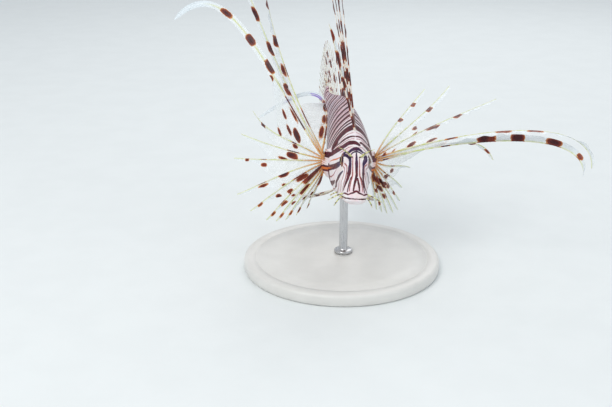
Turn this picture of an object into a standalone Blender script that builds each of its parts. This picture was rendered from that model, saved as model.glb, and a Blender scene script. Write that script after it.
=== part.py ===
"""Life-size still model of a red lionfish (Pterois volitans) on a plain display stand.

Metres, +Z up. The fish faces -Y, nose a little down, tail swung towards -X, both pectoral fans spread.
The origin is the centre of the stand's underside.

The body is first described straight: `a` runs back from the tip of the snout, `l` to the fish's left
(+X for a fish that faces -Y) and `h` up. place() then puts such a point on the bent, pitched and rolled
backbone.
"""

import math

import bmesh
import bpy
import numpy as np

# ---------------------------------------------------------------- driving dimensions
BODY = 0.150  # snout tip to the base of the tail fin
GAP = 0.0004  # clearance between neighbouring pieces
FIN_THICK = 0.0009  # fin rays and webs, at their roots
TIP_THICK = 0.0006  # the same, at their tips

SNOUT_TIP = (0.0058, -0.062, 0.071)  # where the tip of the snout is
PITCH = math.radians(10)  # nose down
ROLL = math.radians(4)  # back leaning to the fish's left
BEND_AT = (0.0, 0.25, 0.45, 0.60, 0.75, 0.88, 1.00, 1.10)  # stations along the body
BEND = (1, 2, 5, 8, 13, 9, 4, 2)  # how many degrees the backbone swings towards -X there

HEAD_END = 0.315  # the thin cut behind the gill covers
TRUNK_END = 0.80  # the thin cut before the tail stalk
EYE = (0.166, 0.043, 0.080)  # centre of the left eye: a, l, h
EYE_RADIUS = 0.0345
EYE_DEPTH = 0.0205  # half the eyeball's size from side to side
MOUTH_CORNER = (0.095, -0.046)  # a and h of the corner of the mouth
MOUTH_RISE = math.radians(24)  # slope of the shut mouth, rising forwards
CHIN_SLOPE = math.radians(28)  # slope of the jaw's rear edge, down and back

STAND_RADIUS = 0.066
STAND_THICK = 0.008
ROD_RADIUS = 0.0028
ROD_AT = 0.42  # the belly station that the rod reaches

# Body outline, as shares of BODY. Each row is one station: how far back it is, then the body's top, its
# bottom, its half width, the height of its widest level, and how pointed the upper half of its section is.
OUTLINE = (
    (-0.012, 0.006, -0.014, 0.028, -0.004, 1.00),
    (0.000, 0.019, -0.030, 0.042, -0.006, 0.95),
    (0.030, 0.037, -0.050, 0.049, -0.012, 0.90),
    (0.070, 0.062, -0.071, 0.053, -0.020, 0.90),
    (0.120, 0.094, -0.096, 0.059, -0.030, 0.85),
    (0.170, 0.121, -0.118, 0.067, -0.038, 0.85),
    (0.225, 0.141, -0.139, 0.079, -0.035, 1.00),
    (0.280, 0.158, -0.154, 0.089, -0.025, 1.25),
    (0.350, 0.172, -0.167, 0.095, -0.015, 1.55),
    (0.450, 0.180, -0.175, 0.091, -0.010, 1.70),
    (0.550, 0.173, -0.168, 0.079, 0.000, 1.70),
    (0.650, 0.150, -0.146, 0.063, 0.000, 1.60),
    (0.750, 0.112, -0.110, 0.046, 0.000, 1.50),
    (0.850, 0.075, -0.074, 0.029, 0.000, 1.35),
    (0.930, 0.056, -0.054, 0.020, 0.000, 1.20),
    (1.000, 0.056, -0.055, 0.015, 0.000, 1.15),
)
STATIONS, TOP, BOTTOM, WIDTH, WIDEST, POINTED = zip(*OUTLINE)
BELLY_POINTED = 0.92  # the same for the lower half; 1 is an ellipse

# Finishes of the pieces: colour, roughness and metallic value
SKIN = ((0.62, 0.42, 0.40, 1), 0.45, 0.0)
JAW_SKIN = ((0.55, 0.30, 0.28, 1), 0.45, 0.0)
FIN = ((0.86, 0.80, 0.72, 1), 0.5, 0.0)
EYE_DARK = ((0.03, 0.015, 0.02, 1), 0.08, 0.0)
FLAP = ((0.45, 0.45, 0.15, 1), 0.5, 0.0)
BASE_PAINT = ((0.82, 0.81, 0.78, 1), 0.4, 0.0)
STEEL = ((0.62, 0.62, 0.63, 1), 0.3, 1.0)


# ---------------------------------------------------------------- smooth curves through a few values
def smooth_curve(xs, ys, x):
    """A smooth curve through the points, which doesn't overshoot between them (monotone cubic)."""
    xs, ys = np.asarray(xs, float), np.asarray(ys, float)
    step = np.diff(xs)
    rise = np.diff(ys) / step
    slope = np.zeros(len(xs))
    slope[0], slope[-1] = rise[0], rise[-1]
    same_way = rise[:-1] * rise[1:] > 0
    mean = 2 * rise[:-1] * rise[1:] / np.where(same_way, rise[:-1] + rise[1:], 1)
    slope[1:-1] = np.where(same_way, mean, 0)
    x = np.clip(np.asarray(x, float), xs[0], xs[-1])
    k = np.clip(np.searchsorted(xs, x) - 1, 0, len(step) - 1)
    t = (x - xs[k]) / step[k]
    return (
        ys[k] * (1 + 2 * t) * (1 - t) ** 2
        + step[k] * slope[k] * t * (1 - t) ** 2
        + ys[k + 1] * t * t * (3 - 2 * t)
        + step[k] * slope[k + 1] * t * t * (t - 1)
    )


def unit(v):
    """The vector, or each vector of an array, made one long."""
    v = np.asarray(v, float)
    return v / np.linalg.norm(v, axis=-1, keepdims=True)


# ---------------------------------------------------------------- the bent backbone
def local_axes(a):
    """Backward, leftward and upward unit vectors of the fish at station a (a share of BODY)."""
    yaw = math.radians(float(smooth_curve(BEND_AT, BEND, a)))
    level_back = math.cos(PITCH)
    back = np.array([-math.sin(yaw) * level_back, math.cos(yaw) * level_back, math.sin(PITCH)])
    level = np.array([math.cos(yaw), math.sin(yaw), 0.0])
    upright = np.cross(level, back)
    left = level * math.cos(ROLL) - upright * math.sin(ROLL)
    up = upright * math.cos(ROLL) + level * math.sin(ROLL)
    return back, left, up


def backbone(a, steps=40):
    """The backbone's point at station a, by adding up short lengths from the snout."""
    ways = [local_axes(a * (k + 0.5) / steps)[0] for k in range(steps)]
    return np.array(SNOUT_TIP) + np.sum(ways, axis=0) * (a / steps) * BODY


def place(a, l, h):
    """World point of the straight fish's point; a, l and h are shares of BODY."""
    _, left, up = local_axes(a)
    return backbone(a) + (left * l + up * h) * BODY


def turned(a, back, out, up):
    """World direction of a direction given in the fish's own axes at station a."""
    axes = local_axes(a)
    return unit(axes[0] * back + axes[1] * out + axes[2] * up)


# ---------------------------------------------------------------- the body's sections
def section(a, angle):
    """l and h of the body's surface at station a and an angle from the fish's left side over its back."""
    values = (TOP, BOTTOM, WIDTH, WIDEST, POINTED)
    top, bottom, width, widest, pointed = (smooth_curve(STATIONS, v, a) for v in values)
    c, s = np.cos(angle), np.sin(angle)
    power = np.where(s > 0, pointed, BELLY_POINTED)
    l = width * np.sign(c) * np.abs(c) ** power
    h = widest + np.where(s > 0, top - widest, widest - bottom) * s
    return l, h


def back_height(a):
    return float(smooth_curve(STATIONS, TOP, a))


def belly_height(a):
    return float(smooth_curve(STATIONS, BOTTOM, a))


def surface_width(a, h):
    """Half width of the body at station a and height h."""
    angles = np.linspace(-math.pi / 2, math.pi / 2, 181)
    l, heights = section(a, angles)
    return float(np.interp(h, heights, l))


def body_ring(a, count):
    """World points round the body at station a."""
    l, h = section(a, 2 * math.pi * np.arange(count) / count)
    return [place(a, *point) for point in zip(l, h)]


# ---------------------------------------------------------------- making objects
SHARP_EDGE = math.radians(50)  # edges that turn more than this stay sharp


def material(name, colour, roughness, metallic):
    made = bpy.data.materials.new(name)
    made.use_nodes = True
    shader = made.node_tree.nodes["Principled BSDF"]
    shader.inputs["Base Color"].default_value = colour
    shader.inputs["Roughness"].default_value = roughness
    shader.inputs["Metallic"].default_value = metallic
    made.diffuse_color = colour
    return made


def add_object(name, points, faces, finish, smooth=True):
    """An object of that mesh, its faces turned out, with a material of its own."""
    mesh = bpy.data.meshes.new(name)
    mesh.from_pydata([tuple(float(x) for x in p) for p in points], [], [tuple(f) for f in faces])
    made = bmesh.new()
    made.from_mesh(mesh)
    bmesh.ops.recalc_face_normals(made, faces=made.faces)
    if made.calc_volume(signed=True) < 0:
        bmesh.ops.reverse_faces(made, faces=made.faces)
    made.to_mesh(mesh)
    made.free()
    if smooth:
        mesh.shade_smooth()
        mesh.set_sharp_from_angle(angle=SHARP_EDGE)
    mesh.materials.append(material(name, *finish))
    obj = bpy.data.objects.new(name, mesh)
    bpy.context.scene.collection.objects.link(obj)
    return obj


def loft(name, rings, finish, strips=False):
    """A closed skin through rings of points, ended by fans of triangles, or by strips on long bent rings."""
    count = len(rings[0])
    points = [p for ring in rings for p in ring]
    faces = []
    for r in range(len(rings) - 1):
        for k in range(count):
            n = (k + 1) % count
            faces.append((r * count + k, r * count + n, (r + 1) * count + n, (r + 1) * count + k))
    for r in (0, len(rings) - 1):
        if strips:
            first, last = r * count, r * count + count - 1
            faces += [(first + k, first + k + 1, last - k - 1, last - k) for k in range(count // 2 - 1)]
            continue
        middle = len(points)
        points.append(np.mean(rings[r], axis=0))
        faces += [(middle, r * count + k, r * count + (k + 1) % count) for k in range(count)]
    return add_object(name, points, faces, finish)


def apply_boolean(obj, cutter, operation):
    """Applies a Boolean with the cutter at once, and removes the cutter."""
    step = obj.modifiers.new("cut", "BOOLEAN")
    step.solver = "EXACT"
    step.operation = operation
    step.object = cutter
    bpy.context.view_layer.update()
    done = bpy.data.meshes.new_from_object(obj.evaluated_get(bpy.context.evaluated_depsgraph_get()))
    finish = obj.data.materials[0]
    obj.modifiers.remove(step)
    obj.data = done
    obj.data.materials.clear()
    obj.data.materials.append(finish)
    bpy.data.objects.remove(cutter)


# ---------------------------------------------------------------- body, mouth and eyes
HEAD_SIDES, TRUNK_SIDES = 24, 22  # points round the head and round the trunk
NEAR_TIP = (-0.0118, -0.0095, -0.004, 0.010, 0.028)  # close stations that round off the snout
CHEEK_START = 0.052  # the even stations of the head start here
HEAD_RINGS, TRUNK_RINGS, STALK_RINGS = 10, 9, 5
JAW_REACH, JAW_HALF_WIDTH = 0.20, 0.12  # the wedge that parts the jaw reaches past it all round
EYE_RINGS, EYE_SIDES = 8, 14


def trunk_and_tail():
    trunk = [body_ring(a, TRUNK_SIDES) for a in np.linspace(HEAD_END + GAP / BODY, TRUNK_END, TRUNK_RINGS)]
    loft("trunk", trunk, SKIN)
    stalk = [body_ring(a, TRUNK_SIDES) for a in np.linspace(TRUNK_END + GAP / BODY, 1.0, STALK_RINGS)]
    loft("tail_stalk", stalk, SKIN)


def whole_head(name, finish):
    stations = list(NEAR_TIP) + list(np.linspace(CHEEK_START, HEAD_END, HEAD_RINGS))
    return loft(name, [body_ring(a, HEAD_SIDES) for a in stations], finish)


def jaw_wedge(grow):
    """A wedge-shaped block that holds the lower jaw, grown by a length on its two cutting sides."""
    back_a, back_h = (value + grow / BODY for value in MOUTH_CORNER)
    front = (back_a - JAW_REACH * math.cos(MOUTH_RISE), back_h + JAW_REACH * math.sin(MOUTH_RISE))
    below = (back_a + JAW_REACH * math.sin(CHIN_SLOPE), back_h - JAW_REACH * math.cos(CHIN_SLOPE))
    outline = [(back_a, back_h), front, (front[0], below[1]), below]
    points = [place(a, side * JAW_HALF_WIDTH, h) for side in (-1, 1) for a, h in outline]
    faces = [(0, 1, 2, 3), (4, 5, 6, 7)] + [(k, (k + 1) % 4, 4 + (k + 1) % 4, 4 + k) for k in range(4)]
    return add_object("jaw_wedge", points, faces, JAW_SKIN, smooth=False)


def eyeball(name, side, grow):
    """A round eyeball, flatter from side to side, grown all round by a length."""
    a, l, h = EYE
    centre = place(a, side * l, h)
    back, left, up = local_axes(a)
    wide, deep = EYE_RADIUS * BODY + grow, EYE_DEPTH * BODY + grow
    rings = []
    for r in range(1, EYE_RINGS):
        polar = math.pi * r / EYE_RINGS
        turns = 2 * math.pi * np.arange(EYE_SIDES) / EYE_SIDES
        spokes = np.outer(np.cos(turns), back) + np.outer(np.sin(turns), up)
        rings.append(centre + spokes * wide * math.sin(polar) + left * deep * math.cos(polar))
    points = [point for ring in rings for point in ring] + [centre + left * deep, centre - left * deep]
    faces = []
    for r in range(len(rings) - 1):
        for k in range(EYE_SIDES):
            n = (k + 1) % EYE_SIDES
            row, below = r * EYE_SIDES, (r + 1) * EYE_SIDES
            faces.append((row + k, row + n, below + n, below + k))
    last = (len(rings) - 1) * EYE_SIDES
    for pole, first in ((len(points) - 2, 0), (len(points) - 1, last)):
        faces += [(pole, first + k, first + (k + 1) % EYE_SIDES) for k in range(EYE_SIDES)]
    return add_object(name, points, faces, EYE_DARK)


def head_jaw_and_eyes():
    head = whole_head("head", SKIN)
    jaw = whole_head("lower_jaw", JAW_SKIN)
    apply_boolean(head, jaw_wedge(GAP), "DIFFERENCE")
    apply_boolean(jaw, jaw_wedge(0.0), "INTERSECT")
    for side, side_name in ((1, "left"), (-1, "right")):
        apply_boolean(head, eyeball("socket", side, GAP), "DIFFERENCE")
        eyeball(f"eye_{side_name}", side, 0.0)


# ---------------------------------------------------------------- fins
SOFT_BLADES = ((0.0005, 0.0004), (0.0005, 0.0004))  # how far a soft ray reaches before and after itself
MEDIAN_BEND, PELVIC_BEND, FLAP_BEND = 1.4, 1.2, 1.2  # above 1 a ray or flap keeps its first direction longer


def fin(name, rays, before, after, sides, normals, thickness, web_rows):
    """One closed, thin fin: flat rays side by side, joined by a web over their first rows.

    rays, sides and normals are (ray, row, 3). A side vector points from a ray to the next; before and after,
    as (ray, row), are how far the ray's blade reaches against and along it. web_rows is how many rows from
    the root the web between a ray and the next one goes.
    """
    count, rows = rays.shape[:2]
    near = rays - sides * before[..., None]
    far = rays + sides * after[..., None]
    half = normals * (np.asarray(thickness) / 2)[None, :, None]
    grids = [near - half, far - half, near + half, far + half]
    points = np.concatenate([g.reshape(-1, 3) for g in grids])

    def corner(ray, row, edge, layer):
        return (layer * 2 + edge) * count * rows + ray * rows + row

    cells = set()
    for ray in range(count):
        cells |= {(2 * ray, row) for row in range(rows - 1)}
        if ray + 1 < count:
            cells |= {(2 * ray + 1, row) for row in range(web_rows[ray])}

    def ends(cell):
        column, row = cell
        ray, edge = divmod(column, 2)
        first = (ray, edge)
        second = (ray, 1) if edge == 0 else (ray + 1, 0)
        return [(first, row), (second, row), (second, row + 1), (first, row + 1)]

    faces = []
    for cell in sorted(cells):
        at = ends(cell)
        for layer in (0, 1):
            faces.append([corner(ray, row, edge, layer) for (ray, edge), row in at])
        column, row = cell
        beside = ((column, row - 1), (column + 1, row), (column, row + 1), (column - 1, row))
        for k, neighbour in enumerate(beside):
            if neighbour in cells:
                continue
            here, there = at[k], at[(k + 1) % 4]
            rim = ((here, 0), (there, 0), (there, 1), (here, 1))
            faces.append([corner(ray, row, edge, layer) for ((ray, edge), row), layer in rim])
    used = sorted({k for f in faces for k in f})
    renumber = {k: n for n, k in enumerate(used)}
    return add_object(name, points[used], [[renumber[k] for k in f] for f in faces], FIN, smooth=False)


def ray_path(root, start, end, length, rows, bend):
    """Points along a ray that leaves its root along start and turns towards end, early or late by bend."""
    point, path = np.asarray(root, float), [np.asarray(root, float)]
    for k in range(rows - 1):
        t = ((k + 0.5) / (rows - 1)) ** bend
        point = point + unit(start * (1 - t) + end * t) * (length / (rows - 1))
        path.append(point)
    return np.array(path)


def swept_path(root, start, tip, end, strengths, reach, web, rows):
    """Points along a smooth curve from root to tip, leaving along start and arriving along end.

    The first web rows share out the length reach, and the other rows the rest.
    """
    leave, arrive = (np.linalg.norm(tip - root) * strength for strength in strengths)
    t = np.linspace(0, 1, 121)[:, None]
    curve = (
        root * (1 + 2 * t) * (1 - t) ** 2
        + start * leave * t * (1 - t) ** 2
        + tip * t * t * (3 - 2 * t)
        + end * arrive * t * t * (t - 1)
    )
    run = np.concatenate([[0], np.cumsum(np.linalg.norm(np.diff(curve, axis=0), axis=1))])
    in_web = np.linspace(0, reach, web + 1)[:-1]
    marks = np.concatenate([in_web, np.linspace(reach, run[-1], rows - web)])
    return np.stack([np.interp(marks, run, curve[:, axis]) for axis in range(3)], axis=1)


def across(rays):
    """Side and normal vectors of a fan: sides point from a ray to the next, normals out of the fan."""
    along = unit(np.gradient(rays, axis=1))
    apart = np.gradient(rays, axis=0)
    apart[:, 0] = apart[:, 1]
    sides = unit(apart - along * (apart * along).sum(-1, keepdims=True))
    return sides, unit(np.cross(along, sides))


# Pectoral fans. Each row is one ray, counted from the top of the fan: the direction it leaves in, how far its
# tip is from its root, and the direction it ends in, all as (back, out, up), then how strongly it follows
# each direction, and how far the web between the rays reaches. Lengths are shares of BODY. The rays between
# these are read off smooth curves.
RIGHT_FAN = (
    (0, (0.94, -0.19, 0.31), (0.38, 0.27, -0.05), (-0.09, 0.64, -0.50), (3.77, 0.96), 0.24),
    (1, (0.77, 0.43, 0.47), (0.80, 0.28, 0.52), (0.66, 0.20, 0.71), (1.0, 1.0), 0.29),
    (2, (0.72, 0.47, 0.51), (0.73, 0.37, 0.53), (0.58, 0.38, 0.71), (1.0, 1.0), 0.32),
    (3, (0.66, 0.55, 0.51), (0.44, 0.66, 0.41), (-0.60, 0.58, -0.55), (1.35, 1.3), 0.33),
    (4, (0.66, 0.72, 0.14), (0.39, 0.29, 0.02), (0.80, 0.45, 0.40), (1.0, 1.0), 0.31),
    (5, (0.53, 0.84, -0.08), (0.31, 0.34, -0.05), (0.56, 0.82, 0.06), (1.0, 1.0), 0.29),
    (6, (0.38, 0.90, -0.22), (0.22, 0.37, -0.12), (0.33, 0.93, -0.15), (1.0, 1.0), 0.27),
    (7, (0.20, 0.91, -0.38), (0.08, 0.35, -0.22), (0.04, 0.87, -0.49), (1.0, 1.0), 0.25),
    (9, (-0.08, 0.71, -0.69), (-0.02, 0.22, -0.27), (-0.24, 0.61, -0.75), (1.0, 1.0), 0.21),
    (11, (-0.15, 0.49, -0.85), (-0.03, 0.14, -0.24), (-0.28, 0.44, -0.84), (1.0, 1.0), 0.17),
    (13, (-0.10, 0.24, -0.96), (0.04, 0.05, -0.20), (-0.15, 0.20, -0.97), (1.0, 1.0), 0.13),
)
LEFT_FAN = (
    (0, (0.94, 0.34, 0.05), (0.64, 0.30, 0.03), (0.86, 0.49, 0.15), (1.0, 1.0), 0.25),
    (1, (0.85, 0.52, 0.04), (0.65, 0.42, 0.06), (0.86, 0.49, 0.15), (1.0, 1.0), 0.28),
    (2, (0.73, 0.67, 0.08), (0.54, 0.63, 0.06), (0.59, 0.80, 0.10), (1.0, 1.0), 0.31),
    (3, (0.34, 0.92, 0.22), (-0.17, 0.88, 0.08), (-0.65, -0.10, -0.74), (1.0, 0.95), 0.31),
    (4, (0.32, 0.94, 0.15), (-0.13, 0.87, 0.03), (-0.65, -0.12, -0.75), (1.0, 0.85), 0.29),
    (5, (0.60, 0.79, -0.10), (0.30, 0.60, -0.12), (-0.25, 0.40, -0.88), (1.2, 0.80), 0.27),
    (6, (0.52, 0.70, -0.48), (0.28, 0.21, -0.16), (0.62, 0.55, -0.50), (1.0, 1.0), 0.25),
    (7, (0.36, 0.60, -0.70), (0.21, 0.17, -0.22), (0.42, 0.52, -0.72), (1.0, 1.0), 0.23),
    (9, (0.16, 0.48, -0.86), (0.12, 0.15, -0.27), (0.20, 0.46, -0.85), (1.0, 1.0), 0.20),
    (11, (0.04, 0.36, -0.93), (0.08, 0.10, -0.25), (0.04, 0.33, -0.93), (1.0, 1.0), 0.16),
    (13, (-0.05, 0.28, -0.96), (0.04, 0.05, -0.19), (-0.05, 0.20, -0.97), (1.0, 1.0), 0.12),
)
PECTORAL_TOP = (0.340, 0.032)  # a and h of the upper end of the fin's root
PECTORAL_BOTTOM = (0.356, -0.100)
LOBE_WAY = (0.55, 0.83, 0.0)  # the fleshy lobe at the fin's root stands out this way: back, out, up
LOBE_LENGTH = 0.024
LOBE_SECTIONS = ((0.0, 0.0130), (0.45 * LOBE_LENGTH, 0.0105), (LOBE_LENGTH, 0.0055))  # how far out, how thick
LOBE_POINTS = 7  # down each side
LOBE_OVERHANG = 0.03  # share of the root line that the lobe passes it by at both ends
LOBE_CLEARANCE, FAN_CLEARANCE = 1.8 * GAP, 4.2 * GAP  # lobe from the body, and rays from the lobe's start
FAN_RAYS, FAN_ROWS, FAN_WEB = 14, 12, 4  # rays, points along each, and how many of those rows the web fills
RAY_LENGTHS = (0.03, 0.09, 0.16)  # metres; the skin ribbon behind a ray is wider on a longer ray
RIBBON_WIDTHS = (0.0009, 0.0018, 0.0042)
RIBBON_TIP, RIBBON_TAPER = 0.0004, 0.8  # width at both ends, and share of the full width left before the tip


def root_line(t):
    """a and h at share t down the line that the fan's rays start from."""
    return (PECTORAL_TOP[k] + (PECTORAL_BOTTOM[k] - PECTORAL_TOP[k]) * t for k in (0, 1))


def lobe_way(a, side):
    return turned(a, LOBE_WAY[0], side * LOBE_WAY[1], LOBE_WAY[2])


def pectoral_lobe(name, side):
    """The fleshy root of the fan, from the body's side out to the rays."""
    rings = []
    for depth, thick in LOBE_SECTIONS:
        front, rear = [], []
        for share in np.linspace(0, 1, LOBE_POINTS):
            a, h = root_line(share * (1 + 2 * LOBE_OVERHANG) - LOBE_OVERHANG)
            swell = thick * (0.45 + 0.55 * abs(math.sin(math.pi * share)) ** 0.6)
            for edge, sign in ((front, -1), (rear, 1)):
                here = a + sign * swell
                on_body = place(here, side * (surface_width(here, h) + LOBE_CLEARANCE / BODY), h)
                edge.append(on_body + lobe_way(a, side) * depth * BODY)
        rings.append(front + rear[::-1])
    loft(name, rings, SKIN, strips=True)


def fan_rays(side, fan):
    """Ray points of a pectoral fan, and each ray's length."""
    controls = [row[0] for row in fan]

    def read(column, ray):
        if np.ndim(fan[0][column]) == 0:
            return float(smooth_curve(controls, [row[column] for row in fan], ray))
        columns = zip(*(row[column] for row in fan))
        return np.array([float(smooth_curve(controls, values, ray)) for values in columns])

    paths = []
    for ray in range(FAN_RAYS):
        a, h = root_line(ray / (FAN_RAYS - 1))
        depth = LOBE_LENGTH * BODY + FAN_CLEARANCE
        root = place(a, side * surface_width(a, h), h) + lobe_way(a, side) * depth
        start, offset, end, strengths, reach = (read(column, ray) for column in range(1, 6))
        axes = local_axes(a)
        tip = root + (axes[0] * offset[0] + axes[1] * side * offset[1] + axes[2] * offset[2]) * BODY
        leave, arrive = (turned(a, way[0], side * way[1], way[2]) for way in (start, end))
        paths.append(swept_path(root, leave, tip, arrive, strengths, reach * BODY, FAN_WEB, FAN_ROWS))
    paths = np.array(paths)
    return paths, np.linalg.norm(np.diff(paths, axis=1), axis=2).sum(axis=1)


def pectoral_fin(name, side, fan):
    """A fan of long rays, each with a ribbon of skin along its rear side, webbed near their roots."""
    rays, lengths = fan_rays(side, fan)
    sides, normals = across(rays)
    run = np.cumsum(np.linalg.norm(np.diff(rays, axis=1), axis=2), axis=1)
    share = np.hstack([np.zeros((FAN_RAYS, 1)), run / lengths[:, None]])
    before = smooth_curve((0, 0.2, 0.8, 1.0), (RIBBON_TIP, 0.0007, 0.0006, RIBBON_TIP), share)
    after = []
    for full, x in zip(smooth_curve(RAY_LENGTHS, RIBBON_WIDTHS, lengths), share):
        widths = (RIBBON_TIP, full, RIBBON_TAPER * full, RIBBON_TIP)
        after.append(smooth_curve((0, 0.28, 0.85, 1.0), widths, x))
    thickness = np.linspace(FIN_THICK, TIP_THICK, FAN_ROWS)
    fin(name, rays, before, np.array(after), sides, normals, thickness, [FAN_WEB] * (FAN_RAYS - 1))


def rays_and_blades(name, rays, webs, blades, thick):
    """A fin of nearly straight rays; blades is how far each reaches before and after itself, root and tip."""
    sides, normals = across(rays)
    count, rows = rays.shape[:2]
    share = np.linspace(0, 1, rows)
    before, after = (np.tile(np.interp(share, (0, 1), blade), (count, 1)) for blade in blades)
    fin(name, rays, before, after, sides, normals, np.linspace(thick, TIP_THICK, rows), webs)


def median_fin(name, roots, ways, lengths, rows, web, blades=SOFT_BLADES, thick=FIN_THICK):
    """A fin on the fish's midline. roots are (a, h), ways are (start, end) directions as (back, out, up)."""
    rays = []
    for (a, h), (start, end), length in zip(roots, ways, lengths):
        root, leave, arrive = place(a, 0.0, h), turned(a, *start), turned(a, *end)
        rays.append(ray_path(root, leave, arrive, length * BODY, rows, MEDIAN_BEND))
    rays = np.array(rays)
    rays_and_blades(name, rays, [web] * (len(rays) - 1), blades, thick)


# Spines and soft fins on the midline; lengths are shares of BODY, directions are degrees.
SPINES = 13
SPINE_START, SPINE_END = 0.285, 0.700
SPINE_LENGTHS = (0.46, 0.56, 0.60, 0.60, 0.57, 0.53, 0.49, 0.44, 0.39, 0.33, 0.26, 0.19, 0.23)
SPINE_RAKES = (8, 11, 14, 16, 18, 20, 22, 24, 26, 28, 30, 32, 32)  # back from upright
SPINE_SIDES = (-18, -10, -14, -11, -12, -10, -9, -8, -8, -7, -7, -6, -6)  # leaning to the right
SPINE_CURVE = 0.15  # radians that a spine leans further back at its tip
SPINE_ROWS, SPINE_WEB, SPINE_THICK = 7, 1, 0.0014
SPINE_BLADES = ((0.0008, 0.00045), (0.0018, 0.00045))
SOFT_ROWS, SOFT_WEB, SOFT_CURVE = 6, 4, 0.2
FIN_LIFT = 2.2 * GAP / BODY  # how far a fin's rays start from the body, as a share of BODY
SPINE_LIFT = 2.4 * GAP / BODY
SOFT_DORSAL_RAYS, SOFT_DORSAL_FROM, SOFT_DORSAL_TO, SOFT_DORSAL_SIDE = 9, 0.750, 0.915, -0.05
ANAL_RAYS, ANAL_FROM, ANAL_TO = 8, 0.705, 0.885
CAUDAL_RAYS, CAUDAL_ROWS, CAUDAL_WEB = 12, 7, 5
CAUDAL_ROOT, CAUDAL_LENGTH, CAUDAL_ROUNDING = 0.050, 0.335, 0.075  # half height of its root, length, rounding
CAUDAL_SPREAD = math.radians(27)
CAUDAL_STRAIGHTENS = 0.8  # share of the spread left at the rays' tips
CAUDAL_SIDE = -0.03  # the tips lean this much to the right
PELVIC_LENGTHS = (0.24, 0.36, 0.39, 0.38, 0.34, 0.27)
PELVIC_FROM, PELVIC_TO = 0.330, 0.365
PELVIC_OUTER, PELVIC_INNER = 0.050, 0.036  # how far from the midline its first and last rays start
PELVIC_ROWS, PELVIC_LIFT, PELVIC_BLADE = 7, 2.5 * GAP / BODY, (0.0006, 0.0005)


def spiny_dorsal():
    roots, ways = [], []
    for a, rake, side in zip(np.linspace(SPINE_START, SPINE_END, SPINES), SPINE_RAKES, SPINE_SIDES):
        roots.append((a, back_height(a) + SPINE_LIFT))
        rake, side = math.radians(rake), math.tan(math.radians(side))
        ways.append([(math.sin(x), side, math.cos(x)) for x in (rake, rake + SPINE_CURVE)])
    spines = (roots, ways, SPINE_LENGTHS, SPINE_ROWS, SPINE_WEB, SPINE_BLADES, SPINE_THICK)
    median_fin("spiny_dorsal_fin", *spines)


def soft_dorsal():
    t = np.linspace(0, 1, SOFT_DORSAL_RAYS)
    stations = SOFT_DORSAL_FROM + (SOFT_DORSAL_TO - SOFT_DORSAL_FROM) * t
    roots = [(a, back_height(a) + FIN_LIFT) for a in stations]
    lengths = smooth_curve((0, 0.3, 0.6, 1.0), (0.22, 0.29, 0.28, 0.17), t)
    lean = np.radians(smooth_curve((0, 1), (36, 62), t))
    ways = [[(math.sin(x), SOFT_DORSAL_SIDE, math.cos(x)) for x in (way, way + SOFT_CURVE)] for way in lean]
    median_fin("soft_dorsal_fin", roots, ways, lengths, SOFT_ROWS, SOFT_WEB)


def anal_fin():
    t = np.linspace(0, 1, ANAL_RAYS)
    roots = [(a, belly_height(a) - FIN_LIFT) for a in ANAL_FROM + (ANAL_TO - ANAL_FROM) * t]
    lengths = smooth_curve((0, 0.25, 0.6, 1.0), (0.12, 0.24, 0.28, 0.18), t)
    lean = np.radians(smooth_curve((0, 1), (28, 62), t))
    ways = [[(math.sin(x), 0, -math.cos(x)) for x in (way, way + SOFT_CURVE)] for way in lean]
    median_fin("anal_fin", roots, ways, lengths, SOFT_ROWS, SOFT_WEB)


def caudal_fin():
    t = np.linspace(-1, 1, CAUDAL_RAYS)
    roots = [(1.0 + 1.5 * GAP / BODY, CAUDAL_ROOT * x) for x in t]
    lengths = CAUDAL_LENGTH - CAUDAL_ROUNDING * t ** 2
    ways = []
    for way in CAUDAL_SPREAD * t:
        tip = CAUDAL_STRAIGHTENS * way
        ways.append([(math.cos(way), 0.0, math.sin(way)), (math.cos(tip), CAUDAL_SIDE, math.sin(tip))])
    median_fin("caudal_fin", roots, ways, lengths, CAUDAL_ROWS, CAUDAL_WEB)


def pelvic_fin(name, side):
    rays = []
    lower_half = np.linspace(-math.pi / 2, 0, 91)
    for length, t in zip(PELVIC_LENGTHS, np.linspace(0, 1, len(PELVIC_LENGTHS))):
        a = PELVIC_FROM + (PELVIC_TO - PELVIC_FROM) * t
        l = PELVIC_OUTER + (PELVIC_INNER - PELVIC_OUTER) * t
        widths, heights = section(a, lower_half)
        h = float(np.interp(l, widths, heights)) - PELVIC_LIFT
        start = turned(a, 0.50 + 0.20 * t, side * (0.62 - 0.42 * t), -0.62)
        end = turned(a, 0.85, side * (0.46 - 0.26 * t), -0.42)
        rays.append(ray_path(place(a, side * l, h), start, end, length * BODY, PELVIC_ROWS, PELVIC_BEND))
    webs = [PELVIC_ROWS - 3] * (len(rays) - 1)
    rays_and_blades(name, np.array(rays), webs, (PELVIC_BLADE, PELVIC_BLADE), FIN_THICK)


# ---------------------------------------------------------------- skin flaps on the face
FLAP_SIDES, FLAP_ROWS = 6, 5
FLAP_FLATNESS = 0.5
FLAP_TIP, FLAP_LEAST = 0.0003, 0.00026  # radius at the tip, and least half thickness
# Each kind: station, angle from the fish's left side over its back, clearance from the skin, directions at
# the root and at the tip as (back, out, up), length as a share of BODY, and radius at the root.
FLAPS = (
    ("brow_tentacle", 0.150, 77, 2.0 * GAP, (0.0, 0.65, 0.75), (0.25, 0.95, 0.20), 0.066, 0.0009),
    ("lip_tab_long", 0.040, 12, 1.2 * GAP, (-0.5, 1.0, -0.10), (-0.6, 1.0, -0.50), 0.070, 0.0008),
    ("lip_tab_short", 0.066, -14, 1.4 * GAP, (-0.25, 0.75, -0.60), (-0.1, 0.30, -1.0), 0.050, 0.0008),
    ("cheek_tab", 0.175, -28, 2.4 * GAP, (0.35, 0.8, -0.5), (0.6, 0.3, -0.8), 0.045, 0.0008),
)


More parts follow.
